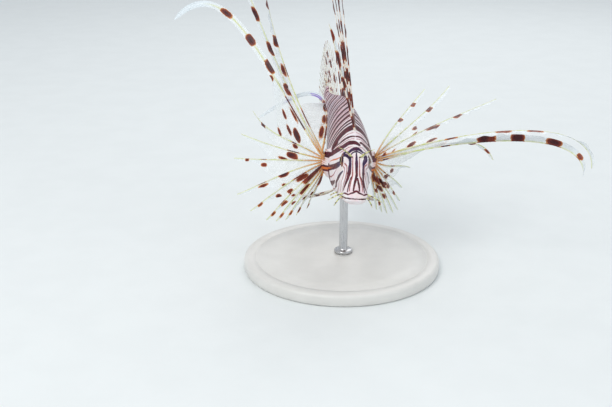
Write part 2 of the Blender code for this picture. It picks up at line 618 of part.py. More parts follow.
def flap(name, root, start, end, length, root_radius):
    """A thin, tapering skin flap; start and end are world directions."""
    path = ray_path(root, start, end, length, FLAP_ROWS, FLAP_BEND)
    along = unit(np.gradient(path, axis=0))
    turns = 2 * math.pi * np.arange(FLAP_SIDES) / FLAP_SIDES
    rings = []
    for point, way, share in zip(path, along, np.linspace(0, 1, FLAP_ROWS)):
        side = unit(np.cross(way, (0.2, 0.3, 1.0)))
        other = np.cross(way, side)
        wide = root_radius * (1 - share) ** 0.8 + FLAP_TIP
        deep = max(wide * FLAP_FLATNESS, FLAP_LEAST)
        rings.append([point + side * wide * math.cos(x) + other * deep * math.sin(x) for x in turns])
    return loft(name, rings, FLAP)


def root_on_body(a, angle, lift):
    """A point that stands off the body's skin at station a and angle, by lift metres."""
    (l, l_next), (h, h_next) = section(a, np.array([angle, angle + 1e-3]))
    outward = unit([h_next - h, l - l_next])
    return place(a, l + outward[0] * lift / BODY, h + outward[1] * lift / BODY)


def face_flaps():
    for side, side_name in ((1, "left"), (-1, "right")):
        for kind, a, angle, lift, start, end, length, radius in FLAPS:
            turn = math.radians(angle if side > 0 else 180 - angle)
            ways = [turned(a, way[0], side * way[1], way[2]) for way in (start, end)]
            flap(f"{kind}_{side_name}", root_on_body(a, turn, lift), *ways, length * BODY, radius)


# ---------------------------------------------------------------- stand
BASE_SEGMENTS, BASE_BEVEL = 48, 0.0018
ROD_SEGMENTS = 20
FOOT_FLARE, FOOT_HEIGHT, FOOT_STEP = 2.2, 0.002, 0.001  # the collar at the rod's foot; multiple of its radius
CRADLE = ((1.0, 0.006), (1.9, 0.0022), (2.1, 0.0))  # the rod's top: multiple of its radius, drop below the rim
CRADLE_CLEARANCE = 2.5 * GAP


def circle(segments):
    turns = 2 * math.pi * np.arange(segments) / segments
    return np.stack([np.cos(turns), np.sin(turns)], axis=1)


def stand_base():
    """A turned disc with small bevels."""
    inner, top = STAND_RADIUS - BASE_BEVEL, STAND_THICK - BASE_BEVEL
    rim = ((inner, 0.0), (STAND_RADIUS, BASE_BEVEL), (STAND_RADIUS, top), (inner, STAND_THICK))
    rings = [[(r * x, r * y, z) for x, y in circle(BASE_SEGMENTS)] for r, z in rim]
    loft("stand_base", rings, BASE_PAINT)


def stand_rod():
    """An upright rod with a collar at its foot, and a small dished top cut to the belly's slope."""
    belly, ahead, behind = (place(a, 0.0, belly_height(a)) for a in (ROD_AT, ROD_AT - 0.01, ROD_AT + 0.01))
    normal = np.cross(behind - ahead, local_axes(ROD_AT)[1])
    foot = STAND_THICK + GAP
    collar = ((FOOT_FLARE, foot), (FOOT_FLARE, foot + FOOT_HEIGHT), (1.0, foot + FOOT_HEIGHT + FOOT_STEP))
    rings = []
    for flare, z in collar:
        around = circle(ROD_SEGMENTS) * flare * ROD_RADIUS
        rings.append([(belly[0] + x, belly[1] + y, z) for x, y in around])
    for flare, drop in CRADLE:
        ring = []
        for x, y in circle(ROD_SEGMENTS) * flare * ROD_RADIUS:
            slope = (normal[0] * x + normal[1] * y) / normal[2]
            ring.append((belly[0] + x, belly[1] + y, belly[2] - slope - CRADLE_CLEARANCE - drop))
        rings.append(ring)
    loft("stand_rod", rings, STEEL)


# ---------------------------------------------------------------- build
for old in list(bpy.data.objects):
    bpy.data.objects.remove(old)

head_jaw_and_eyes()
trunk_and_tail()
for fin_side, fan_table, side_word in ((-1, RIGHT_FAN, "right"), (1, LEFT_FAN, "left")):
    pectoral_lobe(f"pectoral_lobe_{side_word}", fin_side)
    pectoral_fin(f"pectoral_fin_{side_word}", fin_side, fan_table)
    pelvic_fin(f"pelvic_fin_{side_word}", fin_side)
spiny_dorsal()
soft_dorsal()
anal_fin()
caudal_fin()
face_flaps()
stand_base()
stand_rod()
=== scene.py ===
import math

import bpy
import numpy as np
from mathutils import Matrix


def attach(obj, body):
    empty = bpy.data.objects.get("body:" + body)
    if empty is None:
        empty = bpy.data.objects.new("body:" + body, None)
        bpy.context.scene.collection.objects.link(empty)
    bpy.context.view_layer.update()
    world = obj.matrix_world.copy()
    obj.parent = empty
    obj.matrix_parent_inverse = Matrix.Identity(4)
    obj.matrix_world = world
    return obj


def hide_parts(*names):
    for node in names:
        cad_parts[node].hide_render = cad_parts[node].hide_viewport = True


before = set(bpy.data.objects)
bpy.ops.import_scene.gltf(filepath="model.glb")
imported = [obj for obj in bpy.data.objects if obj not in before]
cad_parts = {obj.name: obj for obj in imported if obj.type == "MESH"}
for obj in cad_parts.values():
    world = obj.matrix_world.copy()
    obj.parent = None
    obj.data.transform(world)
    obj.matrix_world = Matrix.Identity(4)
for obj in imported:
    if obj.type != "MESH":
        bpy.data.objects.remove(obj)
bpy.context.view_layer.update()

# ============================================================ Body and skin
# Head, jaw, trunk, tail stalk and the fleshy roots of the pectoral fins are one body under one skin. It is a
# single cast in clear-coated resin, with the mouth, gill covers, orbits and nostrils in relief, painted in
# maroon bars and fine rust lines over a cream to lavender-pink ground.
BODY = 0.150  # snout tip to the base of the tail fin, metres; lengths along the fish are shares of it
BODY_MM = BODY * 1000
SNOUT_TIP = np.array((0.0058, -0.062, 0.071))
PITCH, ROLL = math.radians(10), math.radians(4)  # nose down, back leaning to the fish's left
BEND_AT = (0.0, 0.25, 0.45, 0.60, 0.75, 0.88, 1.00, 1.10)  # stations along the body
BEND = (1, 2, 5, 8, 13, 9, 4, 2)  # degrees that the backbone swings towards -X there
BACKBONE = (np.arange(40) + 0.5) / 40  # shares at which the bend is summed
# station, top, bottom, half width, widest level, and how pointed the upper half of the section is
OUTLINE = (
    (-0.012, 0.006, -0.014, 0.028, -0.004, 1.00),
    (0.000, 0.019, -0.030, 0.042, -0.006, 0.95),
    (0.030, 0.037, -0.050, 0.049, -0.012, 0.90),
    (0.070, 0.062, -0.071, 0.053, -0.020, 0.90),
    (0.120, 0.094, -0.096, 0.059, -0.030, 0.85),
    (0.170, 0.121, -0.118, 0.067, -0.038, 0.85),
    (0.225, 0.141, -0.139, 0.079, -0.035, 1.00),
    (0.280, 0.158, -0.154, 0.089, -0.025, 1.25),
    (0.350, 0.172, -0.167, 0.095, -0.015, 1.55),
    (0.450, 0.180, -0.175, 0.091, -0.010, 1.70),
    (0.550, 0.173, -0.168, 0.079, 0.000, 1.70),
    (0.650, 0.150, -0.146, 0.063, 0.000, 1.60),
    (0.750, 0.112, -0.110, 0.046, 0.000, 1.50),
    (0.850, 0.075, -0.074, 0.029, 0.000, 1.35),
    (0.930, 0.056, -0.054, 0.020, 0.000, 1.20),
    (1.000, 0.056, -0.055, 0.015, 0.000, 1.15),
)
STATIONS, *SECTIONS = zip(*OUTLINE)
TOP, BOTTOM = SECTIONS[:2]
BELLY_POINTED = 0.92
SCALE_DEPTH = 0.0002  # the skin lies this far inside the body's outer shape
HEAD_END, FIN_BASE_END = 0.314, 0.386
HEAD_STEP, FIN_BASE_STEP, TRUNK_STEP = 0.0021, 0.0014, 0.0042  # stations between the skin's rows
SKIN_COLUMNS = 264  # points round the body
SNOUT_ROWS, SNOUT_BULGE, SNOUT_LEVEL = 6, 0.004, -0.004  # the rounded front of the lips
TAIL_ROWS, TAIL_REACH, TAIL_FLATTENED = 7, 0.024, 0.12  # the skin runs out over the roots of the tail's rays
SIDES = ((1, "left"), (-1, "right"))


def unit(v):
    v = np.asarray(v, float)
    return v / np.maximum(np.linalg.norm(v, axis=-1, keepdims=True), 1e-12)


def eased(x, low, high):
    """0 below low, 1 above high, and a smooth step between."""
    t = np.clip((np.asarray(x, float) - low) / (high - low), 0, 1)
    return t * t * (3 - 2 * t)


def bell(x):
    return np.exp(-(x ** 2))


def cubic(t, start, end, leave, arrive):
    """The curve from start to end with those slopes at its ends, at shares t of the way."""
    return (start * (1 + 2 * t) * (1 - t) ** 2 + leave * t * (1 - t) ** 2
            + end * t * t * (3 - 2 * t) + arrive * t * t * (t - 1))


def smooth_curve(xs, ys, x):
    """A smooth curve through the points that doesn't overshoot between them."""
    xs, ys = np.asarray(xs, float), np.asarray(ys, float)
    step = np.diff(xs)
    rise = np.diff(ys) / step
    same_way = rise[:-1] * rise[1:] > 0
    mean = 2 * rise[:-1] * rise[1:] / np.where(same_way, rise[:-1] + rise[1:], 1)
    slope = np.concatenate([rise[:1], np.where(same_way, mean, 0), rise[-1:]])
    x = np.clip(np.asarray(x, float), xs[0], xs[-1])
    k = np.clip(np.searchsorted(xs, x) - 1, 0, len(step) - 1)
    return cubic((x - xs[k]) / step[k], ys[k], ys[k + 1], step[k] * slope[k], step[k] * slope[k + 1])


def body_axes(a):
    """Backward, leftward and upward directions of the fish at station a."""
    yaw = np.radians(smooth_curve(BEND_AT, BEND, a))
    flat = np.zeros_like(yaw)
    level = np.stack([np.cos(yaw), np.sin(yaw), flat], -1)
    back = np.stack([-np.sin(yaw), np.cos(yaw), flat + math.tan(PITCH)], -1) * math.cos(PITCH)
    upright = np.cross(level, back)
    left = level * math.cos(ROLL) - upright * math.sin(ROLL)
    return back, left, upright * math.cos(ROLL) + level * math.sin(ROLL)


def on_fish(a, l, h):
    """World points at station a, l to the fish's left and h up."""
    a, l, h = (np.asarray(v, float) for v in (a, l, h))
    spine = SNOUT_TIP + body_axes(a[..., None] * BACKBONE)[0].mean(-2) * a[..., None] * BODY
    _, left, up = body_axes(a)
    return spine + (left * l[..., None] + up * h[..., None]) * BODY


def fish_way(a, way, side=1):
    """World direction of a (back, out, up) way at station a; out is leftward, or rightward on side -1."""
    back, left, up = body_axes(a)
    return unit(back * way[0] + left * side * way[1] + up * way[2])


def section(a, turn):
    """l and h of the body's outline at station a, at a turn from the back's midline over the fish's left."""
    top, bottom, width, widest, pointed = (smooth_curve(STATIONS, v, a) for v in SECTIONS)
    across, rise = np.sin(turn), np.cos(turn)
    l = width * np.sign(across) * np.abs(across) ** np.where(rise > 0, pointed, BELLY_POINTED)
    return l, widest + np.where(rise > 0, top - widest, widest - bottom) * rise


def outline_at(a, turn, lift=0.0):
    """World points on the body's outline, lifted off it by lift metres, and the way out there."""
    a, turn = np.broadcast_arrays(np.asarray(a, float), np.asarray(turn, float))

    def beside(ahead, turned):
        return on_fish(a + ahead, *section(a + ahead, turn + turned))

    out = unit(np.cross(beside(0, 0.02) - beside(0, -0.02), beside(0.002, 0) - beside(-0.002, 0)))
    return beside(0, 0) + out * lift, out


def grid_way_out(points):
    around = np.roll(points, -1, 1) - np.roll(points, 1, 1)
    return unit(np.cross(around, np.gradient(points, axis=0)))


def skin_stations():
    """Stations of the skin's rows, then how far each row is drawn in, sideways and in height."""
    front = np.linspace(0.98, 0, SNOUT_ROWS, endpoint=False) * math.pi / 2
    rear = np.linspace(0, 0.995, TAIL_ROWS + 1)[1:]
    head = np.arange(STATIONS[0], HEAD_END, HEAD_STEP)
    fin_base = np.arange(HEAD_END, FIN_BASE_END, FIN_BASE_STEP)
    trunk = np.linspace(FIN_BASE_END, 1.0, round((1 - FIN_BASE_END) / TRUNK_STEP) + 1)
    plain = np.ones(len(head) + len(fin_base) + len(trunk))
    stations = (STATIONS[0] - SNOUT_BULGE * np.sin(front), head, fin_base, trunk, 1 + TAIL_REACH * rear)
    narrow = (np.cos(front), plain, np.sqrt(1 - rear ** 2))
    low = (np.cos(front), plain, 1 - TAIL_FLATTENED * rear ** 2)
    return (np.concatenate(v) for v in (stations, narrow, low))


def even_turns(a):
    """Turns that space the skin's columns evenly round the body at each station."""
    fine = np.linspace(0, 2 * math.pi, 1441)
    l, h = section(a[:, None], fine[None])
    run = np.hypot(np.diff(l, axis=1), np.diff(h, axis=1)).cumsum(axis=1)
    run = np.hstack([np.zeros((len(a), 1)), run])
    return np.array([np.interp(np.arange(SKIN_COLUMNS) / SKIN_COLUMNS * row[-1], row, fine) for row in run])


# Relief of the head, on both sides: height (below 0 in a groove) and width in mm, then the line
HEAD_RELIEF = (
    (0.50, 1.7, ((0.075, 60), (0.115, 73), (0.160, 84), (0.215, 90), (0.250, 92))),  # ridge across the cheek
    (0.42, 1.1, ((0.225, 72), (0.256, 88), (0.262, 112), (0.238, 136), (0.190, 152))),  # fore-cover's edge
    (-0.30, 0.9, ((0.238, 68), (0.272, 88), (0.279, 113), (0.252, 140), (0.200, 157))),
    # edge of the gill cover
    (0.45, 1.3, ((0.268, 46), (0.300, 64), (0.316, 86), (0.306, 110), (0.262, 134), (0.205, 162))),
    (-0.55, 0.8, ((0.280, 42), (0.315, 62), (0.331, 86), (0.321, 112), (0.275, 138), (0.212, 168))),
    (0.55, 1.6, ((0.012, 52), (0.045, 76), (0.078, 98), (0.104, 113))),  # upper jaw's plate
    (-0.28, 0.7, ((0.030, 60), (0.062, 77), (0.092, 92), (0.118, 104))),
    (0.28, 0.9, ((0.045, 22), (0.090, 26), (0.128, 27))),  # nasal ridge
    (-0.25, 1.6, ((0.130, 4), (0.158, 3), (0.185, 4))),  # dip between the eyes
    (0.30, 0.9, ((0.188, 22), (0.214, 20), (0.245, 19))),  # ridges behind the eyes
    (-0.22, 0.6, ((0.020, 150), (0.090, 158), (0.180, 163), (0.240, 170))),  # throat folds
    (0.20, 0.8, ((0.165, 100), (0.205, 104), (0.245, 112))),
)
LINE_FAR, LINE_STEPS = 0.005, 9  # metres within which a line counts, and its steps from point to point
NOSTRILS = ((0.098, 37, 0.35, 0.55), (0.122, 40, 0.25, 0.40))  # station, degrees, rim height and radius in mm
NOSTRIL_RIM = 0.22  # mm
# The mouth: where its corner is, how its line rises to the snout, and between which stations it fades out
MOUTH_CORNER, MOUTH_RISE, MOUTH_FADE = (0.095, -0.046), math.tan(math.radians(24)), (0.084, 0.102)
# Lips, slit and fold: height in mm, then level off the mouth's plane and width as shares of BODY
LIPS = ((0.30, 0.0105, 0.0065), (0.34, -0.0110, 0.0070), (-0.75, 0.0, 0.0034), (-0.20, 0.0240, 0.0030))
# Keels under the fins, above and below: where each rises and falls, its half width, its height in mm
KEELS = ((1, (0.26, 0.29, 0.91, 0.94), 0.0065, 0.9), (-1, (0.685, 0.71, 0.89, 0.92), 0.006, 0.7))
EYE = (0.166, 0.043, 0.080)
EYE_SIZES = np.array((0.0345, 0.0205, 0.0345)) * BODY  # half sizes of the eyeball along the fish's axes
EYE_WAY = (-0.12, 1.0, 0.10)  # the eyes look out, a little forward and up: back, out, up
ORBIT_WALL, ORBIT_BLEND, ORBIT_SHARPNESS, ORBIT_REACH = 0.00035, 0.0008, 4.0, 0.0050
ORBIT_FAR, ORBIT_CORE = 0.014, 0.050  # the orbits swell away from this height on the midplane
ORBIT_OPEN, ORBIT_EDGE, ORBIT_SUNK = math.radians(60), math.radians(7), 0.80
PECTORAL_TOP, PECTORAL_BOTTOM = (0.340, 0.032), (0.356, -0.100)  # a and h of the ends of the fin's root
LOBE_WAY, LOBE_LENGTH = (0.55, 0.83, 0.0), 0.0052
LOBE_HALF = (0.0002, 0.0031)  # half thickness of the lobe at its rim and at its foot
LOBE_SPAN, LOBE_END = 0.0198, 0.0013  # metres along its foot, and over which its ends run out
LOBE_RIDGES = 13  # gaps between the rays, each with a ridge on the ray ahead of it
LOBE_SCALLOP, LOBE_RIDGE, LOBE_ENDS = 0.16, 0.16, 0.42  # dips of its rim, ridges of its faces, lower ends


def line_on_body(points, side):
    """A smooth line on the body through (station, degrees from the back's midline) points."""
    at = np.arange(len(points))
    a, turn = (smooth_curve(at, v, np.linspace(0, at[-1], at[-1] * LINE_STEPS + 1)) for v in zip(*points))
    return outline_at(a, np.radians(turn) * side)[0]


def line_gap(points, line):
    """Millimetres from each point to the line, up to LINE_FAR, and how far along it the nearest place is."""
    gap, share = np.full(len(points), LINE_FAR), np.zeros(len(points))
    near = np.all((points > line.min(0) - LINE_FAR) & (points < line.max(0) + LINE_FAR), axis=1)
    close, best, at = points[near], gap[near], share[near]
    for k, way in enumerate(np.diff(line, axis=0)):
        t = np.clip((close - line[k]) @ way / (way @ way), 0, 1)
        gone = np.linalg.norm(close - line[k] - t[:, None] * way, axis=1)
        at = np.where(gone < best, (k + t) / (len(line) - 1), at)
        best = np.minimum(gone, best)
    gap[near], share[near] = best, at
    return gap * 1000, share


def mouth_level(a, h):
    """How far a point is above the plane of the shut mouth."""
    return h - MOUTH_CORNER[1] - (MOUTH_CORNER[0] - a) * MOUTH_RISE


def body_relief(a, turn, l, h, points):
    """Metres that the skin stands out of the plain body, or in."""
    lift = np.zeros(len(points))
    for side, _ in SIDES:
        for height, width, line in HEAD_RELIEF:
            gap, share = line_gap(points, line_on_body(line, side))
            lift += height * eased(share, -0.02, 0.15) * eased(1 - share, -0.02, 0.15) * bell(gap / width)
        for at, degrees, rim, radius in NOSTRILS:
            gap = np.linalg.norm(points - outline_at(at, math.radians(degrees) * side)[0], axis=1) * 1000
            lift += rim * bell((gap - radius) / NOSTRIL_RIM) - 1.4 * rim * bell(gap / radius * 1.5)
    for height, level, width in LIPS:
        lift += height * bell((mouth_level(a, h) - level) / width) * (1 - eased(a, *MOUTH_FADE))
    for up, (start, full, lower, end), width, height in KEELS:
        on_keel = bell(l / width) * (up * np.cos(turn) > 0)
        lift += on_keel * height * eased(a, start, full) * (1 - eased(a, lower, end))
    return lift / 1000


def eye_centre(side):
    return on_fish(EYE[0], side * EYE[1], EYE[2])


def eye_look(side):
    """The way an eye looks, in the fish's own axes."""
    return unit(np.array((EYE_WAY[0], side * EYE_WAY[1], EYE_WAY[2])))


def swell_orbits(points, a, side):
    """Points of the head pushed out round the eyeball and drawn in behind its opening."""
    centre, axes = eye_centre(side), np.stack(body_axes(EYE[0]))
    near = np.linalg.norm(points - centre, axis=1) < ORBIT_FAR
    p = points[near]
    way = unit(p - on_fish(a[near], 0.0, ORBIT_CORE))
    reach = np.linspace(0, ORBIT_REACH, 41)
    x = (p[:, None] + way[:, None] * reach[None, :, None] - centre) @ axes.T
    q = ((x / (EYE_SIZES + ORBIT_WALL)) ** 2).sum(-1)
    field = np.exp(-reach / ORBIT_BLEND) + np.exp(-(q - 1) * ORBIT_SHARPNESS)
    last = len(reach) - 1 - np.argmax((field >= 1)[:, ::-1], axis=1)
    after = np.minimum(last + 1, len(reach) - 1)
    here, there = (field[np.arange(len(p)), k] for k in (last, after))
    part = np.clip((here - 1) / np.maximum(here - there, 1e-9), 0, 1)
    p = p + way * (reach[last] + part * (reach[after] - reach[last]))[:, None]
    x = (p - centre) @ axes.T / EYE_SIZES
    off_look = np.arccos(np.clip(unit(x) @ eye_look(side), -1, 1))
    level = np.linalg.norm(x, axis=-1)
    open_by = (1 - eased(off_look, ORBIT_OPEN - ORBIT_EDGE, ORBIT_OPEN)) * (level < 1.6)
    sunk = centre + (p - centre) * (ORBIT_SUNK / np.maximum(level, 0.5))[:, None]
    moved = points.copy()
    moved[near] = p + (sunk - p) * open_by[:, None]
    return moved


def swell_lobe(points, a, l, h, side):
    """The fleshy root of a pectoral fin drawn out of the body's side.

    Returns the points, how far each stands out, how far on a ridge, and its distance from the lobe's foot.
    """
    share = (h - PECTORAL_TOP[1]) / (PECTORAL_BOTTOM[1] - PECTORAL_TOP[1])
    aside = np.abs(a - PECTORAL_TOP[0] - (PECTORAL_BOTTOM[0] - PECTORAL_TOP[0]) * share) * BODY
    past = np.maximum(np.abs(share - 0.5) - 0.5, 0) * LOBE_SPAN
    ridge = 0.5 + 0.5 * np.cos(2 * math.pi * share * LOBE_RIDGES)
    thick = LOBE_HALF[1] * (1 + LOBE_RIDGE * (ridge - 0.5))
    wedge = 1 - eased(aside / thick, LOBE_HALF[0] / LOBE_HALF[1], 1.0)
    arch = 1 - LOBE_ENDS * np.abs(2 * share - 1).clip(0, 1) ** 2.5
    rim = 1 - LOBE_SCALLOP * (1 - ridge) * eased(wedge, 0.45, 0.95)
    here = side * l > 0.01
    stand = wedge ** 1.1 * arch * rim * bell(past / LOBE_END) * here
    gap = np.where(here, np.hypot(np.maximum(aside - thick, 0), past), 1.0)
    return points + stand[:, None] * LOBE_LENGTH * fish_way(a, LOBE_WAY, side), stand, stand * ridge, gap


SKIN_AT, narrow, low = skin_stations()
rows = len(SKIN_AT)
skin_turn = even_turns(SKIN_AT)
skin_a = np.repeat(SKIN_AT[:, None], SKIN_COLUMNS, axis=1)
skin_l, skin_h = section(skin_a, skin_turn)
middle = np.where(skin_a < 0.5, SNOUT_LEVEL, 0.0)
skin_l, skin_h = skin_l * narrow[:, None], middle + (skin_h - middle) * low[:, None]
plain_skin = on_fish(skin_a, skin_l, skin_h)
flat_a, flat_turn, flat_l, flat_h = (v.ravel() for v in (skin_a, skin_turn, skin_l, skin_h))
plain = plain_skin.reshape(-1, 3)
lift = body_relief(flat_a, flat_turn, flat_l, flat_h, plain) - SCALE_DEPTH
skin = plain + grid_way_out(plain_skin).reshape(-1, 3) * lift[:, None]
on_lobe, on_ridge, lobe_gap = np.zeros(len(skin)), np.zeros(len(skin)), np.ones(len(skin))
for side, _ in SIDES:
    skin = swell_orbits(skin, flat_a, side)
    skin, stand, ridge, gap = swell_lobe(skin, flat_a, flat_l, flat_h, side)
    on_lobe, on_ridge, lobe_gap = on_lobe + stand, on_ridge + ridge, np.minimum(lobe_gap, gap)
SKIN = skin.reshape(rows, SKIN_COLUMNS, 3)
SKIN_OUT = grid_way_out(SKIN)

# Painted lines of the head, by paint: widths in mm at the start, middle and end, sides, then stations and
# degrees. A line across the head counts its degrees from the back's midline to the fish's left.
RIGHT, LEFT, ACROSS, BOTH = (-1,), (1,), (1,), (1, -1)
HEAD_LINES = {
    "bold": (
        ((2.4, 4.0, 3.1), RIGHT, ((0.211, -10), (0.217, -1), (0.223, 14), (0.236, 37), (0.277, 61),
         (0.338, 82))),
        ((2.0, 3.7, 2.8), LEFT, ((0.226, 17), (0.235, 32), (0.258, 51), (0.300, 70), (0.343, 88))),
        ((1.6, 2.9, 1.6), ACROSS, ((0.163, -30), (0.178, -19), (0.185, -4), (0.187, 5), (0.182, 18),
         (0.174, 36))),
        ((0.8, 1.3, 0.8), ACROSS, ((0.156, -18), (0.168, -9), (0.173, 2), (0.169, 16), (0.166, 27))),
        ((0.9, 2.0, 1.4), ACROSS, ((0.166, 1), (0.134, 1), (0.101, 1), (0.070, 2))),
        ((1.3, 1.6, 1.0), ACROSS, ((0.076, 1), (0.060, -1), (0.040, -6), (0.012, -13))),
        ((1.0, 1.5, 0.9), ACROSS, ((0.062, 5), (0.047, 8), (0.033, 12), (0.012, 15))),
        ((1.0, 2.9, 1.8), RIGHT, ((0.150, 17), (0.128, 20), (0.101, 25), (0.077, 35), (0.059, 57),
         (0.052, 73))),
        ((0.9, 2.2, 1.5), LEFT, ((0.150, 24), (0.126, 27), (0.106, 29), (0.075, 32), (0.047, 43),
         (0.029, 60))),
        ((0.6, 1.1, 0.7), BOTH, ((0.070, 19), (0.052, 30), (0.034, 38), (0.016, 47))),
        ((2.2, 3.9, 3.3), RIGHT, ((0.145, 21), (0.157, 36), (0.178, 51), (0.206, 65), (0.250, 79),
         (0.306, 94), (0.354, 110))),
        ((2.6, 3.9, 3.3), LEFT, ((0.152, 34), (0.165, 41), (0.182, 52), (0.209, 65), (0.250, 79), (0.306, 94),
         (0.354, 110))),
        ((0.9, 3.6, 1.4), BOTH, ((0.132, 53), (0.146, 64), (0.162, 77), (0.172, 92), (0.184, 104))),
        ((1.4, 3.4, 1.9), BOTH, ((0.192, 88), (0.222, 102), (0.262, 116), (0.306, 126))),
        ((0.9, 1.5, 0.9), ACROSS, ((0.030, -74), (0.003, -44), (0.005, -16), (0.010, 1), (0.004, 18),
         (0.003, 44), (0.030, 74))),
        ((0.6, 1.0, 0.5), BOTH, ((0.050, 84), (0.074, 98), (0.096, 108), (0.126, 116))),
        ((1.2, 2.1, 1.2), BOTH, ((0.254, 4), (0.260, 17), (0.272, 37), (0.296, 58), (0.320, 72))),
    ),
    "fine": (
        ((0.4, 0.8, 0.6), BOTH, ((0.146, 10), (0.118, 11), (0.078, 14), (0.042, 26), (0.016, 35))),
        ((0.6, 1.0, 0.6), BOTH, ((0.128, 33), (0.108, 37), (0.090, 45), (0.076, 60), (0.066, 78))),
        ((0.4, 0.8, 0.7), BOTH, ((0.140, 38), (0.122, 46), (0.108, 60), (0.098, 78), (0.100, 98))),
        ((0.4, 1.0, 0.6), BOTH, ((0.126, 72), (0.134, 88), (0.148, 104), (0.166, 116))),
        ((0.4, 1.0, 0.7), BOTH, ((0.200, 70), (0.222, 84), (0.262, 100), (0.318, 114))),
        ((0.4, 1.0, 0.4), BOTH, ((0.190, 108), (0.222, 120), (0.262, 130), (0.290, 136))),
        ((0.5, 1.2, 0.5), BOTH, ((0.052, 112), (0.096, 124), (0.150, 132), (0.214, 136))),
        ((0.4, 0.9, 0.5), BOTH, ((0.020, 124), (0.062, 140), (0.120, 148), (0.190, 152))),
        ((0.4, 0.8, 0.6), BOTH, ((0.006, 140), (0.050, 156), (0.100, 164), (0.160, 168))),
        ((0.6, 0.7, 0.6), BOTH, ((0.240, 5), (0.247, 20), (0.262, 42), (0.290, 62), (0.318, 76))),
        ((0.4, 0.7, 0.4), BOTH, ((0.276, 5), (0.282, 20), (0.292, 40), (0.312, 60))),
        ((0.4, 0.6, 0.4), BOTH, ((0.198, 8), (0.204, 24), (0.212, 36), (0.232, 50))),
    ),
    "rust": (
        ((0.5, 1.1, 0.7), BOTH, ((0.196, 45), (0.215, 54), (0.237, 63), (0.266, 72), (0.300, 82))),
        ((0.3, 1.0, 1.3), BOTH, ((0.245, 79), (0.285, 89), (0.315, 97), (0.354, 110))),
    ),
}
# Bars of the trunk, from the nape to the tail: station on the back, and width on the side in mm.
TRUNK_BARS = (
    (0.309, 6.4), (0.347, 2.2), (0.370, 2.6), (0.410, 3.7), (0.448, 3.1), (0.491, 3.8), (0.541, 3.4),
    (0.583, 3.6), (0.613, 1.8), (0.645, 3.5), (0.686, 3.4), (0.715, 1.6), (0.746, 3.4), (0.784, 3.3),
    (0.812, 1.5), (0.841, 3.0), (0.876, 2.9), (0.904, 1.3), (0.932, 2.5), (0.966, 2.5), (1.004, 2.2),
)
BAR_TAPER = ((0, 55, 110, 150, 180), (0.85, 1.0, 0.85, 0.6, 0.3))  # degrees from the back, share of the width
BAR_SWEEP, BAR_SWEEP_END = 0.016, math.radians(120)  # the bars bow back on the upper side
BARS_FROM, BARS_BESIDE_LOBE = 0.24, 0.345  # the bars keep clear of the lobe as far as this second station
RUST_LINE, RUST_ROOM = 0.9, 2.2  # mm: a thin rust line runs between two bars further apart than the room
SLIT_HALF, SLIT_END = 0.5, 0.094  # half width of the dark line of the mouth in mm, and the station it runs to
UNPAINTED = LINE_FAR * 1000  # mm, where no line is near
BAR_VARIES, BAR_WAVES = ((-0.008, 0.008), (0.0006, 0.0022), (0, 6)), 2.6  # a bar's lean, wave and phase
LOBE_CLEAR, BARS_BESIDE, BARS_ON = (0.0004, 0.0042), 3.0, 6.0  # metres; mm that bars draw in beside it, on it
REAR_TINT, BELLY_TINT, BELLY_PALER = (0.24, 0.58), (95, 150), 0.35  # lilac by station; less below, by degrees
NIGHT_ROUND_EYE = (0.0065, 0.0130)  # metres from the eye's centre over which the bars turn from dark blue
bar_draw = np.random.default_rng(11)

line_edge = {paint: np.full(len(plain), UNPAINTED) for paint in HEAD_LINES}


def paint_line(paint, edge):
    """Adds a line, by the millimetres from its edge, which are negative inside the paint."""
    line_edge[paint] = np.minimum(line_edge[paint], edge)


for paint, lines in HEAD_LINES.items():
    for widths, sides, line in lines:
        for side in sides:
            gap, share = line_gap(plain, line_on_body(line, side))
            paint_line(paint, gap - np.interp(share, (0, 0.5, 1), widths) / 2)

signed_turn = np.where(flat_turn > math.pi, flat_turn - 2 * math.pi, flat_turn)
around = np.abs(signed_turn)
sweep = BAR_SWEEP * np.sin(math.pi * np.minimum(around, BAR_SWEEP_END) / BAR_SWEEP_END)
taper = np.interp(np.degrees(around), *BAR_TAPER)
off_lobe = BARS_BESIDE * (1 - eased(lobe_gap, *LOBE_CLEAR)) * (flat_a < BARS_BESIDE_LOBE)
off_lobe = off_lobe + BARS_ON * eased(on_lobe, 0.0, 0.4)


def trunk_line(paint, station, width):
    """Paints one bar or line round the trunk."""
    lean, wave, phase = (bar_draw.uniform(*ends) for ends in BAR_VARIES)
    line = station + sweep + lean * (around / math.pi) ** 1.5 + wave * np.sin(BAR_WAVES * signed_turn + phase)
    edge = np.abs(flat_a - line) * BODY_MM - width / 2 * taper + off_lobe
    paint_line(paint, np.where(flat_a > BARS_FROM, edge, UNPAINTED))


for (station, width), (later, wide) in zip(TRUNK_BARS, TRUNK_BARS[1:] + ((0, 0),)):
    trunk_line("bold", station, width)
    if (later - station) * BODY_MM - (width + wide) / 2 > RUST_ROOM:
        trunk_line("fine", (station + later + (width - wide) / 2 / BODY_MM) / 2, RUST_LINE)
slit = np.abs(mouth_level(flat_a, flat_h)) * BODY_MM - SLIT_HALF
paint_line("bold", np.where(flat_a < SLIT_END, slit, UNPAINTED))


def eye_gap(points):
    """Metres from each point to the centre of the nearer eye."""
    return np.min([np.linalg.norm(points - eye_centre(side), axis=1) for side, _ in SIDES], axis=0)


SKIN_PAINT = {
    **line_edge,
    "night": 1 - eased(eye_gap(plain), *NIGHT_ROUND_EYE),
    "rear": eased(flat_a, *REAR_TINT) * (1 - BELLY_PALER * eased(np.degrees(around), *BELLY_TINT)),
    "lobe": on_lobe,
    "ridge": on_ridge,
}


